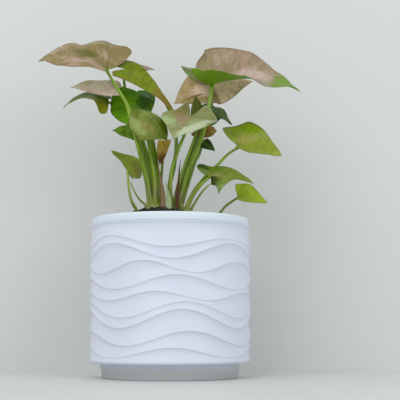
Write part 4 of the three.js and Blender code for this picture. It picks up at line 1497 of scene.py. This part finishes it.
    def build(self, material: Material) -> Piece:
        """Makes the shoot's petioles and crown as one piece."""
        parts = [self.crown()]
        parts += [self.tube(petiole, k) for k, petiole in enumerate(self.plan.petioles)]
        faces, count = [], 0
        for points, part_faces, _ in parts:
            faces += [face + count for face in part_faces]
            count += len(points)
        points = np.concatenate([part[0] for part in parts])
        values = np.concatenate([part[2] for part in parts])
        piece = add_mesh(self.name + "_stems", points, faces, material, {"stem": values})
        return belong(piece, Slot.PETIOLE, self.name)


# The plant's forms and routes

FORMS: dict[str, BladeForm] = {
    "leaf_upper_left": BladeForm(
        joint=(-0.058, 0.0, 0.2715), tip=(-0.117, -0.014, 0.274), width=(0.026, 0.033), roll=-58,
        arch=0.009, droop=-0.022, lobe=(-0.18, 0.42), left=(38, 38, 32, 18, 15),
        right=(10, 9, -17, -21, -12), curl=(-8, 0), wave=(0.0016, 2.2, -0.08),
        shape=((0.25, 0.6, 0), (0, 1.9, 0, 0.5)),
    ),
    "leaf_arching_left": BladeForm(
        joint=(-0.0397, 0.005, 0.272), tip=(0.003, 0.004, 0.2325), width=(0.0145, 0.0155), roll=44,
        arch=0.007, droop=0.01, lobe=(0.3, 0.16), left=(32, 12, 8, 2, 0), right=(-10, 0, 0, 0, 0),
        curl=(-6, -10), shape=((-0.18, 0.55, 0), (-0.05, 1.5, 0.4)),
    ),
    "leaf_rear_left": BladeForm(
        joint=(-0.032, 0.026, 0.278), tip=(-0.0155, 0.034, 0.2805), width=(0.008, 0.004), roll=50,
        arch=0.001, lobe=(0.12, 0.12), wave=(0.0003, 1, 0),
    ),
    "leaf_side_left": BladeForm(
        joint=(-0.049, 0.006, 0.255), tip=(-0.09, 0.0, 0.255), width=(0.017, 0.016), roll=-46,
        arch=0.0015, lobe=(0.1, 0.12), left=(10, 10, 0, 0, 0), right=(0, -4, -4, 0, 0),
    ),
    "leaf_hooked_left": BladeForm(
        joint=(-0.058, 0.014, 0.2483), tip=(-0.097, 0.01, 0.238), width=(0.017, 0.013), roll=-18,
        arch=0.007, droop=0.0, lobe=(0.08, 0.1), left=(-68, -64, -14, 0, 0),
        right=(10, 10, 10, 0, 0), shape=((0.1, 0.9, 0), (0, 1, 0)),
    ),
    "leaf_dark_left": BladeForm(
        joint=(-0.031, 0.021, 0.256), tip=(-0.037, 0.009, 0.22), width=(0.0185, 0.022), roll=-20,
        arch=0.003, lobe=(0.12, 0.12), shape=((0.25, 1.5, 0), (0.25, 1.5, 0)),
    ),
    "leaf_front_left": BladeForm(
        joint=(-0.026, -0.01, 0.232), tip=(-0.003, -0.03, 0.201), width=(0.01, 0.022), roll=25,
        droop=0.0, lobe=(0.08, 0.08), left=(-14, -14, -14, -10, 0), right=(-20, -20, -20, -24, 0),
        shape=((0.2, 1.5, 0), (0.35, 2, 2.5)),
    ),
    "leaf_small_left": BladeForm(
        joint=(-0.033, 0.002, 0.214), tip=(-0.052, -0.003, 0.215), width=(0.01, 0.01), roll=-55,
        arch=0.001, lobe=(0.12, 0.12),
    ),
    "leaf_low_left": BladeForm(
        joint=(-0.037, -0.022, 0.176), tip=(-0.051, -0.026, 0.193), width=(0.016, 0.016), roll=38,
        arch=0.002, lobe=(0.5, 0.1), right=(60, 55, 50, 40, 20),
        shape=((-0.1, 1, -0.6), (-0.1, 1, -0.6)),
    ),
    "leaf_front_centre": BladeForm(
        joint=(0.016, -0.014, 0.226), tip=(0.002, -0.046, 0.199), width=(0.026, 0.0235), roll=-15,
        arch=0.003, droop=-0.01, shape=((0, 1, 0.5, 0.2), (0, 1, 1.5, 0.1)),
    ),
    "leaf_upright_centre": BladeForm(
        joint=(0.0243, -0.0015, 0.225), tip=(0.0221, -0.0005, 0.2478), width=(0.0065, 0.006),
        roll=-66, arch=0.0, lobe=(0.1, 0.1), shape=((0.1, 1.2, 0), (0.1, 1.2, 0)),
    ),
    "leaf_rear_centre": BladeForm(
        joint=(0.037, 0.014, 0.255), tip=(0.002, 0.008, 0.242), width=(0.015, 0.028), roll=-60,
        arch=0.003, lobe=(0.1, 0.1),
    ),
    "leaf_rear_right": BladeForm(
        joint=(0.039, 0.0235, 0.257), tip=(0.076, 0.031, 0.269), width=(0.02, 0.02), roll=46,
        arch=0.003, lobe=(0.1, 0.1),
    ),
    "leaf_upper_right": BladeForm(
        joint=(0.037, 0.001, 0.259), tip=(0.115, -0.006, 0.251), width=(0.041, 0.03), roll=20,
        arch=0.008, droop=-0.021, lobe=(0.31, 0.43), left=(60, 47, 37, 22, 10),
        right=(68, 29, 12, -18, 20), shape=((0, 1.3, 0), (0, 1.3, 1.5)),
    ),
    "leaf_dark_right": BladeForm(
        joint=(0.037, 0.028, 0.241), tip=(0.056, 0.024, 0.226), width=(0.013, 0.012), roll=30,
        arch=0.002, right=(-20, -20, -10, 0, 0),
    ),
    "leaf_dark_rear": BladeForm(
        joint=(0.032, 0.0375, 0.238), tip=(0.052, 0.0435, 0.242), width=(0.013, 0.013), roll=58,
        arch=0.002,
    ),
    "leaf_brown": BladeForm(
        joint=(0.022, 0.007, 0.217), tip=(0.041, 0.005, 0.217), width=(0.006, 0.006), roll=75,
        arch=0.0, droop=0.0, lobe=(0.2, 0.2), shape=((0.1, 2.5, 0), (0.1, 2.5, 0)),
    ),
    "leaf_curled": BladeForm(
        joint=(0.029, 0.008, 0.207), tip=(0.0395, 0.0055, 0.1985), width=(0.006, 0.006), roll=60,
        arch=0.0005, lobe=(0.12, 0.12), wave=(0.0001, 1, 0),
    ),
    "leaf_side_right": BladeForm(
        joint=(0.062, 0.004, 0.203), tip=(0.098, -0.004, 0.193), width=(0.029, 0.015), roll=58,
        arch=0.0, droop=-0.006, lobe=(0.5, 0.08), left=(-14, 4, 4, 0, 0),
        right=(60, 44, 36, 30, 10), shape=((-0.1, 1.3, 0.3, 0.12), (0, 1, 0)),
    ),
    "leaf_hooked_right": BladeForm(
        joint=(0.034, -0.018, 0.173), tip=(0.071, -0.024, 0.165), width=(0.014, 0.016), roll=44,
        arch=0.0025, droop=-0.004, lobe=(0.38, 0), left=(20, 0, 0, 0, 0),
        right=(-120, -115, -30, 0, 0), shape=((0, 1.6, 0, 0.12), (-0.03, 0.14, 0)),
    ),
    "leaf_low_right": BladeForm(
        joint=(0.06, 0.002, 0.157), tip=(0.085, -0.004, 0.151), width=(0.0165, 0.01), roll=55,
        arch=0.001, droop=-0.005, lobe=(0.2, 0.12), right=(60, 40, 30, 10, 0),
    ),
    "leaf_withered": BladeForm(
        joint=(-0.006, 0.01, 0.208), tip=(-0.01, 0.004, 0.185), width=(0.0075, 0.0075), arch=0.0,
        lobe=(0.1, 0.1),
    ),
}

SHOOTS: dict[str, ShootPlan] = {
    "shoot_left": ShootPlan((-0.014, 0.0015), 0.0092, (
        Petiole("leaf_upper_left", (0.0026, 0.0013), (
            (-0.0175, -0.005, 0.1445), (-0.0205, -0.008, 0.1675), (-0.0255, -0.01, 0.1875),
            (-0.0325, -0.008, 0.214), (-0.0395, -0.0075, 0.2385), (-0.047, -0.009, 0.251),
            (-0.054, -0.007, 0.263),
        )),
        Petiole("leaf_arching_left", (0.0024, 0.0012), (
            (-0.012, 0.005, 0.1465), (-0.0135, 0.006, 0.1725), (-0.018, 0.014, 0.205),
            (-0.028, 0.028, 0.231), (-0.036, 0.034, 0.248), (-0.042, 0.033, 0.26),
            (-0.043, 0.02, 0.269),
        )),
        Petiole("leaf_side_left", (0.0023, 0.0012), (
            (-0.016, 0.0, 0.146), (-0.0185, -0.002, 0.167), (-0.022, -0.003, 0.189),
            (-0.0295, -0.002, 0.2175), (-0.0385, 0.002, 0.2395), (-0.045, 0.005, 0.249),
        )),
        Petiole("leaf_hooked_left", (0.0023, 0.0012), (
            (-0.015, 0.003, 0.146), (-0.017, 0.003, 0.1725), (-0.0225, 0.008, 0.2),
            (-0.031, 0.02, 0.222), (-0.043, 0.025, 0.238), (-0.054, 0.021, 0.245),
        ), (-0.0576, 0.0168, 0.2454)),
        Petiole("leaf_dark_left", (0.0023, 0.0012), (
            (-0.0105, 0.003, 0.146), (-0.011, 0.008, 0.1725), (-0.0145, 0.014, 0.2),
            (-0.02, 0.02, 0.228), (-0.027, 0.0235, 0.248),
        )),
        Petiole("leaf_front_left", (0.0023, 0.0012), (
            (-0.0135, -0.006, 0.145), (-0.0145, -0.009, 0.17), (-0.0185, -0.01, 0.1965),
            (-0.024, -0.009, 0.2235),
        )),
        Petiole("leaf_small_left", (0.0019, 0.001), (
            (-0.019, 0.001, 0.146), (-0.0215, 0.0, 0.169), (-0.0245, 0.0, 0.1875),
            (-0.0275, 0.0025, 0.203),
        ), (-0.0312, 0.0044, 0.212)),
        Petiole("leaf_withered", (0.0018, 0.001), (
            (-0.009, 0.008, 0.147), (-0.0085, 0.01, 0.173), (-0.007, 0.015, 0.194),
            (-0.0055, 0.014, 0.2045),
        )),
    )),
    "shoot_right": ShootPlan((0.0045, 0.0045), 0.0088, (
        Petiole("leaf_front_centre", (0.0026, 0.0012), (
            (-0.0005, -0.004, 0.1455), (-0.0005, -0.005, 0.162), (0.0015, -0.007, 0.181),
            (0.007, -0.009, 0.1985), (0.013, -0.012, 0.213),
        )),
        Petiole("leaf_upright_centre", (0.0018, 0.0009), (
            (0.0025, -0.003, 0.1455), (0.006, -0.003, 0.165), (0.013, -0.004, 0.187),
            (0.021, -0.0015, 0.21),
        ), (0.0242, -0.0009, 0.2234)),
        Petiole("leaf_upper_right", (0.0034, 0.0017), (
            (0.0055, 0.002, 0.146), (0.01, 0.002, 0.163), (0.0155, 0.002, 0.181),
            (0.022, 0.002, 0.197), (0.0285, 0.001, 0.215), (0.0335, 0.001, 0.237),
            (0.036, 0.001, 0.2515),
        )),
        Petiole("leaf_rear_centre", (0.0023, 0.0012), (
            (0.003, 0.007, 0.1465), (0.007, 0.008, 0.164), (0.0125, 0.009, 0.182),
            (0.019, 0.01, 0.2005), (0.026, 0.012, 0.219), (0.0335, 0.013, 0.2395),
        )),
        Petiole("leaf_rear_right", (0.0023, 0.0012), (
            (0.0065, 0.009, 0.147), (0.0115, 0.011, 0.1645), (0.0175, 0.013, 0.1825),
            (0.0245, 0.0165, 0.2015), (0.031, 0.015, 0.225), (0.037, 0.019, 0.244),
        )),
        Petiole("leaf_rear_left", (0.0026, 0.0011), (
            (-0.002, 0.008, 0.147), (-0.0015, 0.013, 0.1645), (0.003, 0.018, 0.188),
            (0.005, 0.024, 0.211), (0.001, 0.028, 0.234), (-0.0085, 0.03, 0.2535),
            (-0.021, 0.03, 0.2685),
        )),
        Petiole("leaf_dark_right", (0.0023, 0.0012), (
            (0.009, 0.008, 0.1475), (0.0135, 0.014, 0.165), (0.021, 0.02, 0.1885),
            (0.029, 0.025, 0.2135), (0.0355, 0.028, 0.2325),
        ), (0.0367, 0.0293, 0.2393)),
        Petiole("leaf_dark_rear", (0.0018, 0.001), (
            (0.007, 0.011, 0.147), (0.012, 0.018, 0.168), (0.019, 0.028, 0.195),
            (0.026, 0.039, 0.22), (0.0305, 0.042, 0.231),
        ), (0.0309, 0.0395, 0.2361)),
        Petiole("leaf_brown", (0.0018, 0.001), (
            (0.008, 0.003, 0.1465), (0.0145, 0.005, 0.168), (0.0195, 0.006, 0.189),
            (0.0225, 0.006, 0.2045),
        )),
        Petiole("leaf_curled", (0.0018, 0.0009), (
            (0.009, 0.004, 0.1465), (0.0155, 0.004, 0.168), (0.022, 0.008, 0.189),
            (0.026, 0.011, 0.197),
        ), (0.0281, 0.0098, 0.2054)),
    )),
    "shoot_front_right": ShootPlan((0.0145, -0.006), 0.0044, (
        Petiole("leaf_side_right", (0.0022, 0.0011), (
            (0.0125, -0.004, 0.1445), (0.0205, -0.002, 0.161), (0.03, 0.0, 0.1735),
            (0.041, 0.002, 0.185), (0.0515, 0.003, 0.196),
        )),
        Petiole("leaf_hooked_right", (0.002, 0.0011), (
            (0.014, -0.008, 0.1435), (0.0185, -0.01, 0.1545), (0.0255, -0.014, 0.1645),
        ), (0.033, -0.0158, 0.1716)),
        Petiole(None, (0.0014, 0.0007), (
            (0.017, -0.006, 0.1435), (0.023, -0.008, 0.1535), (0.029, -0.012, 0.1615),
            (0.034, -0.014, 0.166),
        )),
    )),
    "stalk_low_left": ShootPlan((-0.029, -0.018), 0.002, (
        Petiole("leaf_low_left", (0.0015, 0.001), (
            (-0.03, -0.02, 0.141), (-0.0335, -0.022, 0.15), (-0.0355, -0.023, 0.1595),
            (-0.0365, -0.023, 0.168),
        )),
    )),
    "stalk_thin_left": ShootPlan((-0.02, -0.0105), 0.0019, (
        Petiole(None, (0.0012, 0.0006), (
            (-0.0215, -0.012, 0.1425), (-0.027, -0.014, 0.1525), (-0.032, -0.016, 0.1605),
            (-0.0345, -0.017, 0.167),
        )),
    )),
    "stalk_low_right": ShootPlan((0.038, 0.009), 0.002, (
        Petiole("leaf_low_right", (0.0014, 0.001), (
            (0.041, 0.008, 0.1425), (0.048, 0.006, 0.1485), (0.054, 0.004, 0.153),
        )),
    )),
}

# Sheath remains at the shoots' bases: narrow folded blades that stand round the petioles
SHEATHS: dict[str, BladeForm] = {
    "sheath_mint": BladeForm(
        joint=(-0.0035, -0.0115, 0.1455), tip=(-0.0045, -0.0125, 0.168), width=(0.0042, 0.0042),
        arch=0.0006, droop=0.0, lobe=(0.05, 0.05), left=(50, 50, 45, 40, 30),
        right=(50, 50, 45, 40, 30), wave=(0.0002, 2, 0),
    ),
    "sheath_brown": BladeForm(
        joint=(-0.0085, -0.0085, 0.147), tip=(-0.011, -0.0095, 0.183), width=(0.0042, 0.0042),
        arch=0.0008, droop=0.0, lobe=(0.05, 0.05), left=(55, 55, 50, 40, 30),
        right=(55, 55, 50, 40, 30), wave=(0.0002, 2, 0),
    ),
    "sheath_dead": BladeForm(
        joint=(0.0075, -0.0085, 0.146), tip=(0.0085, -0.0095, 0.188), width=(0.003, 0.003),
        arch=0.001, droop=0.0, lobe=(0.05, 0.05), left=(60, 60, 60, 70, 80),
        right=(60, 60, 60, 70, 80), wave=(0.0003, 3, 0),
    ),
}

# Colours of the leaves

# Undersides: their own lighter green, brightened with painted light that shines through the thin
# leaves
GREEN_BELOW_WITH_PAINTED_GLOW = srgb(112, 152, 10)
GREEN_BELOW_VEIN = srgb(144, 176, 58)


def pink_finish(**changes: object) -> BladeFinish:
    """Pink-tan upper side with olive streaks and a green underside."""
    values = dict(
        slot=Slot.PINK,
        base=srgb(160, 140, 112), patch=srgb(136, 120, 82), vein=srgb(130, 110, 82),
        rib=srgb(156, 140, 104), edge=srgb(124, 110, 80), below=GREEN_BELOW_WITH_PAINTED_GLOW,
        below_vein=GREEN_BELOW_VEIN, patch_share=0.45, patch_scale=0.7,
        streak=srgb(118, 104, 62), streak_share=0.5, speckle=srgb(184, 162, 142),
        speckle_share=0.5, vein_share=0.35, edge_share=0.75,
    )
    return BladeFinish(**{**values, **changes})


def green_finish(**changes: object) -> BladeFinish:
    """Mid green upper side with lighter veins."""
    values = dict(
        slot=Slot.GREEN,
        base=srgb(104, 130, 34), patch=srgb(124, 142, 56), vein=srgb(142, 160, 74),
        rib=srgb(156, 172, 88), edge=srgb(84, 92, 32), below=GREEN_BELOW_WITH_PAINTED_GLOW,
        below_vein=GREEN_BELOW_VEIN, patch_share=0.45, patch_scale=0.8,
        streak=srgb(80, 102, 20), streak_share=0.45, speckle=srgb(152, 162, 88),
        speckle_share=0.35, vein_share=0.35, edge_share=0.75, edge_width=0.07,
    )
    return BladeFinish(**{**values, **changes})


def dark_finish(**changes: object) -> BladeFinish:
    """Dark glossy green."""
    values = dict(
        slot=Slot.DARK,
        base=srgb(72, 104, 20), patch=srgb(96, 128, 36), vein=srgb(108, 140, 52),
        rib=srgb(120, 150, 64), edge=srgb(28, 46, 14), below=srgb(84, 116, 28),
        below_vein=srgb(108, 138, 50), patch_share=0.4, streak=srgb(42, 68, 12),
        streak_share=0.5, vein_share=0.3, edge_share=0.6, roughness=0.4,
    )
    return BladeFinish(**{**values, **changes})


def dry_finish(**changes: object) -> BladeFinish:
    """Withered brown."""
    values = dict(
        slot=Slot.DRY,
        base=srgb(150, 122, 66), patch=srgb(124, 92, 48), vein=srgb(98, 66, 36),
        rib=srgb(104, 72, 40), edge=srgb(92, 60, 32), below=srgb(146, 108, 60),
        below_vein=srgb(110, 76, 42), patch_share=0.5, streak=srgb(116, 76, 38),
        streak_share=0.6, vein_share=0.5, roughness=0.6,
    )
    return BladeFinish(**{**values, **changes})


FINISHES: dict[str, BladeFinish] = {
    "leaf_upper_left": pink_finish(
        base=srgb(182, 156, 134), patch=srgb(146, 130, 88), patch_share=0.5,
        streak=srgb(118, 104, 54), streak_share=0.55,
        spots=(
            Spot(srgb(100, 98, 28), 1.75, -1.35, 1.1, 0.7),
            Spot(srgb(182, 150, 134), 1.5, 0.5, 1.6, 0.6),
            Spot(srgb(132, 116, 68), -1.5, -2.0, 1.4, 1.0, share=0.8),
            Spot(srgb(166, 160, 132), 0.6, -3.1, 2.4, 0.35, share=0.4),
        ),
    ),
    "leaf_arching_left": green_finish(
        slot=Slot.YELLOW, base=srgb(104, 116, 0), patch=srgb(114, 140, 0), vein=srgb(122, 134, 10),
        rib=srgb(146, 154, 50), edge=srgb(132, 96, 76), streak=srgb(90, 94, 0),
        speckle=srgb(134, 144, 20), speckle_share=0.2, edge_share=0.85, edge_width=0.12,
        spots=(Spot(srgb(126, 108, 30), 4.4, -0.2, 1.4, 0.8),),
    ),
    "leaf_rear_left": pink_finish(
        base=srgb(176, 152, 140), patch=srgb(148, 128, 112), edge=srgb(84, 78, 62), edge_share=0.8,
        edge_width=0.2,
    ),
    "leaf_side_left": pink_finish(
        # its own pale pink, raised further as painted light against the shade that the leaf above
        # casts
        base=srgb(238, 218, 198), patch=srgb(222, 192, 176), vein=srgb(212, 188, 168),
        rib=srgb(206, 190, 160), edge=srgb(168, 150, 128), streak=srgb(196, 174, 148),
        speckle=srgb(240, 220, 200),
    ),
    "leaf_hooked_left": green_finish(
        base=srgb(90, 112, 16), patch=srgb(112, 116, 34),
        spots=(Spot(srgb(152, 154, 12), 0.8, 1.2, 1.5, 0.8),),
    ),
    "leaf_dark_left": dark_finish(
        base=srgb(98, 150, 2), patch=srgb(116, 168, 8), streak=srgb(68, 114, 2),
        spots=(
            Spot(srgb(46, 82, 6), 1.1, 1.0, 1.2, 0.7),
            Spot(srgb(104, 132, 108), 0.3, 0.8, 0.6, 0.2, 60),
            Spot(srgb(112, 136, 44), 2.4, 0.3, 0.6, 0.4),
        ),
    ),
    "leaf_front_left": green_finish(
        base=srgb(122, 136, 60), patch=srgb(98, 108, 36), streak=srgb(88, 102, 28),
        speckle=srgb(158, 162, 114), speckle_share=0.55, streak_share=0.6,
        spots=(
            Spot(srgb(146, 162, 96), 1.1, -1.5, 1.6, 0.4, share=0.7),
            Spot(srgb(72, 92, 4), 3.1, 0.3, 1.6, 0.8),
            Spot(srgb(146, 118, 78), 2.3, -0.8, 0.9, 0.35, 20, share=0.3),
        ),
    ),
    "leaf_small_left": dark_finish(
        base=srgb(122, 162, 24), patch=srgb(102, 140, 22), edge=srgb(36, 56, 16), edge_share=0.8,
    ),
    "leaf_low_left": green_finish(
        below=srgb(112, 130, 30), below_vein=srgb(136, 150, 62),
        # the dark spot on the lobe's underside is painted shade
        spots=(Spot(srgb(80, 76, 16), -0.6, 1.1, 0.9, 0.6, below=True),),
    ),
    "leaf_front_centre": green_finish(
        slot=Slot.MINT, base=srgb(152, 164, 114), patch=srgb(134, 134, 84), patch_share=0.55,
        vein=srgb(168, 176, 134), rib=srgb(178, 138, 114), rib_width=0.1, edge=srgb(150, 166, 122),
        streak=srgb(112, 118, 62), speckle=srgb(184, 184, 154), speckle_share=0.5,
        spots=(
            Spot(srgb(156, 174, 116), 1.6, -1.4, 1.0, 0.8),
            # the two olive spots behind the joint are painted shade, where the folded right lobe
            # shades the sinus
            Spot(srgb(126, 128, 58), -0.4, -1.3, 1.5, 0.8, softness=0.7),
            Spot(srgb(102, 98, 44), -1.0, -0.6, 0.9, 0.8, softness=0.7),
            Spot(srgb(140, 112, 84), 0.8, -0.5, 1.3, 0.5, 20, share=0.8),
            Spot(srgb(178, 190, 156), 2.4, 1.1, 2.2, 0.45, -30),
        ),
    ),
    "leaf_upright_centre": dry_finish(
        # dark olive colours are painted shade: this leaf fills the shaded sinus behind the front
        # centre leaf
        base=srgb(92, 100, 22), patch=srgb(74, 78, 14), vein=srgb(104, 110, 34),
        rib=srgb(114, 120, 44), edge=srgb(58, 62, 16), streak=srgb(66, 68, 14),
        below=srgb(92, 100, 22),
    ),
    "leaf_rear_centre": pink_finish(
        base=srgb(188, 164, 132), patch=srgb(156, 136, 84), rib=srgb(204, 190, 160),
        streak=srgb(132, 110, 58),
        spots=(
            Spot(srgb(220, 192, 166), 0.8, -0.3, 0.9, 0.7),
            Spot(srgb(156, 142, 84), 2.5, -1.1, 0.9, 0.7, share=0.7),
            # a thin dark line of painted shade along a crease
            Spot(srgb(120, 108, 60), 1.8, 0.15, 0.8, 0.15),
        ),
    ),
    "leaf_rear_right": pink_finish(
        base=srgb(246, 220, 184), patch=srgb(230, 200, 162), vein=srgb(206, 176, 140),
        rib=srgb(200, 172, 136), edge=srgb(160, 140, 110), streak=srgb(184, 152, 112),
        speckle=srgb(236, 212, 186),
    ),
    "leaf_upper_right": pink_finish(
        base=srgb(158, 136, 114), patch=srgb(170, 150, 130), streak=srgb(126, 112, 70),
        # underside: its own lighter green, brightened with painted light shining through the leaf
        below=srgb(108, 154, 4), below_vein=srgb(140, 172, 56),
        spots=(
            Spot(srgb(148, 142, 98), -1.0, 2.7, 1.0, 1.1),
            Spot(srgb(188, 166, 154), 3.6, 0.3, 1.7, 0.9),
            Spot(srgb(148, 146, 130), 4.6, -1.4, 0.9, 0.4),
            Spot(srgb(112, 144, 52), 7.2, 0, 1.9, 2.5, softness=0.1),
            Spot(srgb(136, 156, 92), -2.3, -1.0, 1.3, 0.6),
            Spot(srgb(96, 120, 80), -3.3, -1.0, 0.5, 0.4, below=True),
            Spot(srgb(150, 154, 130), -2.8, -1.1, 0.5, 0.25, below=True),
        ),
    ),
    "leaf_dark_right": dark_finish(),
    "leaf_dark_rear": dark_finish(base=srgb(64, 90, 26), patch=srgb(80, 110, 34)),
    "leaf_brown": dry_finish(base=srgb(168, 148, 72), patch=srgb(142, 118, 54)),
    "leaf_curled": dark_finish(base=srgb(58, 80, 42), patch=srgb(36, 54, 20)),
    "leaf_side_right": green_finish(
        base=srgb(138, 150, 48), patch=srgb(150, 160, 74), vein=srgb(160, 172, 86),
        edge=srgb(70, 88, 24), edge_width=0.1, streak=srgb(112, 130, 14),
        speckle=srgb(168, 172, 106),
        spots=(
            Spot(srgb(118, 146, 4), -0.2, 2.2, 1.4, 0.5),
            Spot(srgb(114, 132, 34), -1.3, 1.3, 0.7, 0.5),
            Spot(srgb(162, 152, 84), 0.0, 0.6, 1.3, 0.45, 30, share=0.6),
        ),
    ),
    "leaf_hooked_right": green_finish(
        base=srgb(104, 128, 30), patch=srgb(118, 134, 48), vein=srgb(130, 150, 62),
        spots=(
            Spot(srgb(44, 66, 16), -1.1, 0.95, 0.75, 0.35),
            Spot(srgb(106, 128, 72), -0.6, 0.35, 0.5, 0.3),
            Spot(srgb(130, 132, 72), 0.4, 0.1, 0.6, 0.4),
            Spot(srgb(150, 180, 92), 0.5, -1.1, 0.7, 0.6),
        ),
    ),
    "leaf_low_right": green_finish(
        slot=Slot.YELLOW, base=srgb(160, 182, 48), patch=srgb(148, 166, 36),
        vein=srgb(178, 196, 86), edge=srgb(92, 108, 30), edge_width=0.1, streak=srgb(134, 154, 22),
        speckle=srgb(184, 192, 104),
    ),
    "leaf_withered": dry_finish(
        # its own tan, raised to a bright yellow as painted light against the shade it sits in
        # behind the petioles
        base=srgb(252, 222, 118), patch=srgb(236, 190, 90), streak=srgb(204, 158, 70),
        spots=(Spot(srgb(130, 84, 50), 2.0, 0.2, 0.7, 0.9),),
    ),
}

SHEATH_FINISHES: dict[str, BladeFinish] = {
    "sheath_mint": green_finish(
        slot=Slot.DRY, base=srgb(168, 184, 140), patch=srgb(140, 160, 96),
        below=srgb(168, 184, 140), below_vein=srgb(140, 160, 96),
    ),
    "sheath_brown": dry_finish(
        base=srgb(150, 124, 92), patch=srgb(136, 140, 64), below=srgb(150, 124, 92),
        below_vein=srgb(124, 96, 66),
    ),
    "sheath_dead": dry_finish(
        base=srgb(96, 66, 44), patch=srgb(70, 48, 34), below=srgb(96, 66, 44),
        below_vein=srgb(70, 48, 34),
    ),
}


# Floor, wall, lights and camera


@dataclass
class Panel:
    """A soft white light: place, power in watts, the point that it faces, and size."""

    name: str
    place: Vec3
    power: float
    aim: Vec3 = (0.0, 0.0, 0.15)
    size: float = 1.6

    def build(self) -> None:
        """Adds the light to the scene."""
        data = bpy.data.lights.new(self.name, "AREA")
        data.size, data.energy = self.size, self.power
        lamp = bpy.data.objects.new(self.name, data)
        lamp.location = self.place
        backward = Vector(self.place) - Vector(self.aim)
        lamp.rotation_euler = backward.to_track_quat("Z", "Y").to_euler()
        bpy.context.scene.collection.objects.link(lamp)


@dataclass
class Studio:
    """Plain pale floor and wall, two soft lights from the front, a pale sky and the camera."""

    wall_y: float = 0.124
    reach: float = 3.0
    lens: float = 87.66  # in mm, as the sensor
    sensor: float = 36.0
    camera_place: Vec3 = (0.0, -0.85, 0.043)
    camera_turn: Vec3 = (97.43, 0.0, -1.735)  # in degrees
    sky: Colour = (0.95, 0.98, 1.0, 1.0)
    sky_strength: float = 0.8
    panels: tuple[Panel, ...] = (
        Panel("key", (-1.0, -1.5, 1.5), 16.0), Panel("fill", (1.4, -1.6, 0.9), 9.0),
    )
    floor_finish: GrainFinish = GrainFinish(
        srgb(214, 216, 212), srgb(208, 209, 205), 0.4, 6, 60, 0.5, 0.05 * MM, sheet=True)
    wall_finish: GrainFinish = GrainFinish(
        srgb(213, 214, 213), srgb(209, 210, 208), 0.9, 3, 80, 0.5, 0.1 * MM, sheet=True)

    def sheets(self, effects: Effects) -> None:
        """Adds the floor and the wall, which are clear from behind."""
        far, wall = self.reach, self.wall_y
        floor_points = [(-far, -far, 0), (far, -far, 0), (far, far, 0), (-far, far, 0)]
        wall_points = [(-far, wall, 0), (far, wall, 0), (far, wall, far), (-far, wall, far)]
        for name, points, finish in (("floor", floor_points, self.floor_finish),
                                     ("wall", wall_points, self.wall_finish)):
            material = finish.material(name + "_finish", effects)
            sheet = add_mesh(name, np.array(points, float), [np.array([[0, 1, 2, 3]])], material)

    def camera(self) -> Piece:
        """Adds the camera, placed and turned as worked out from the photograph."""
        data = bpy.data.cameras.new("camera")
        data.lens, data.sensor_width = self.lens, self.sensor
        camera = bpy.data.objects.new("camera", data)
        camera.location = self.camera_place
        camera.rotation_euler = [math.radians(angle) for angle in self.camera_turn]
        bpy.context.scene.collection.objects.link(camera)
        return camera

    def build(self, effects: Effects) -> None:
        """Adds the stage, the lights, the sky and the camera."""
        self.sheets(effects)
        for panel in self.panels:
            panel.build()
        world = bpy.data.worlds.new("sky")
        world.use_nodes = True
        background = world.node_tree.nodes["Background"]
        background.inputs["Color"].default_value = self.sky
        background.inputs["Strength"].default_value = self.sky_strength
        scene = bpy.context.scene
        scene.world = world
        scene.view_settings.view_transform = "Standard"
        scene.camera = self.camera()


@dataclass
class Plant:
    """The whole potted plant. Each kind of piece has its own run of seeds."""

    soil: Soil = field(default_factory=Soil)
    # The planter's low colour is painted shade and painted floor reflection on its foot, below 14
    # mm
    planter_finish: GrainFinish = GrainFinish(
        srgb(213, 219, 233), srgb(206, 213, 228), 0.45, 20, 260, 0.5, 0.08 * MM,
        low=srgb(176, 178, 180))
    liner_finish: GrainFinish = GrainFinish(
        srgb(217, 227, 236), srgb(210, 221, 232), 0.35, 20, 200, 0.4, 0.04 * MM)
    soil_finish: GrainFinish = GrainFinish(
        srgb(32, 27, 23), srgb(56, 46, 37), 0.95, 160, 900, 0.8, 0.5 * MM)
    stem_finish: StemFinish = StemFinish(
        srgb(104, 136, 6), srgb(148, 176, 38), srgb(158, 134, 100))
    shoot_seed: int = 3
    leaf_seed: int = 20
    sheath_seed: int = 60

    def build(self, effects: Effects) -> None:
        """Builds and dresses the pot, the soil, the shoots, the leaves and the sheath remains."""
        Planter().build(self.planter_finish.material("planter_finish", effects))
        Liner().build(self.liner_finish.material("liner_finish", effects))
        self.soil.build(self.soil_finish.material("soil_finish", effects))
        stems = self.stem_finish.material("petiole_finish")
        for seed, (name, plan) in enumerate(SHOOTS.items(), self.shoot_seed):
            Shoot(name, plan, self.soil, FORMS, seed).build(stems)
        for seed, (name, form) in enumerate(FORMS.items(), self.leaf_seed):
            Blade(name, form, FINISHES[name], seed).build(effects)
        for seed, (name, form) in enumerate(SHEATHS.items(), self.sheath_seed):
            Blade(name, form, SHEATH_FINISHES[name], seed, rows=48, columns=6, veins=6.0,
                  added=True).build(effects)


def corners(box: tuple) -> list[list[float]]:
    """A box's lowest and highest corner as plain lists of numbers."""
    return [[float(value) for value in corner] for corner in box]


def main() -> None:
    """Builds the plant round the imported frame."""
    logging.basicConfig(level=logging.INFO, format="%(message)s")
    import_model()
    effects = Effects()
    Studio().build(effects)
    Plant().build(effects)


if __name__ == "__main__":
    main()
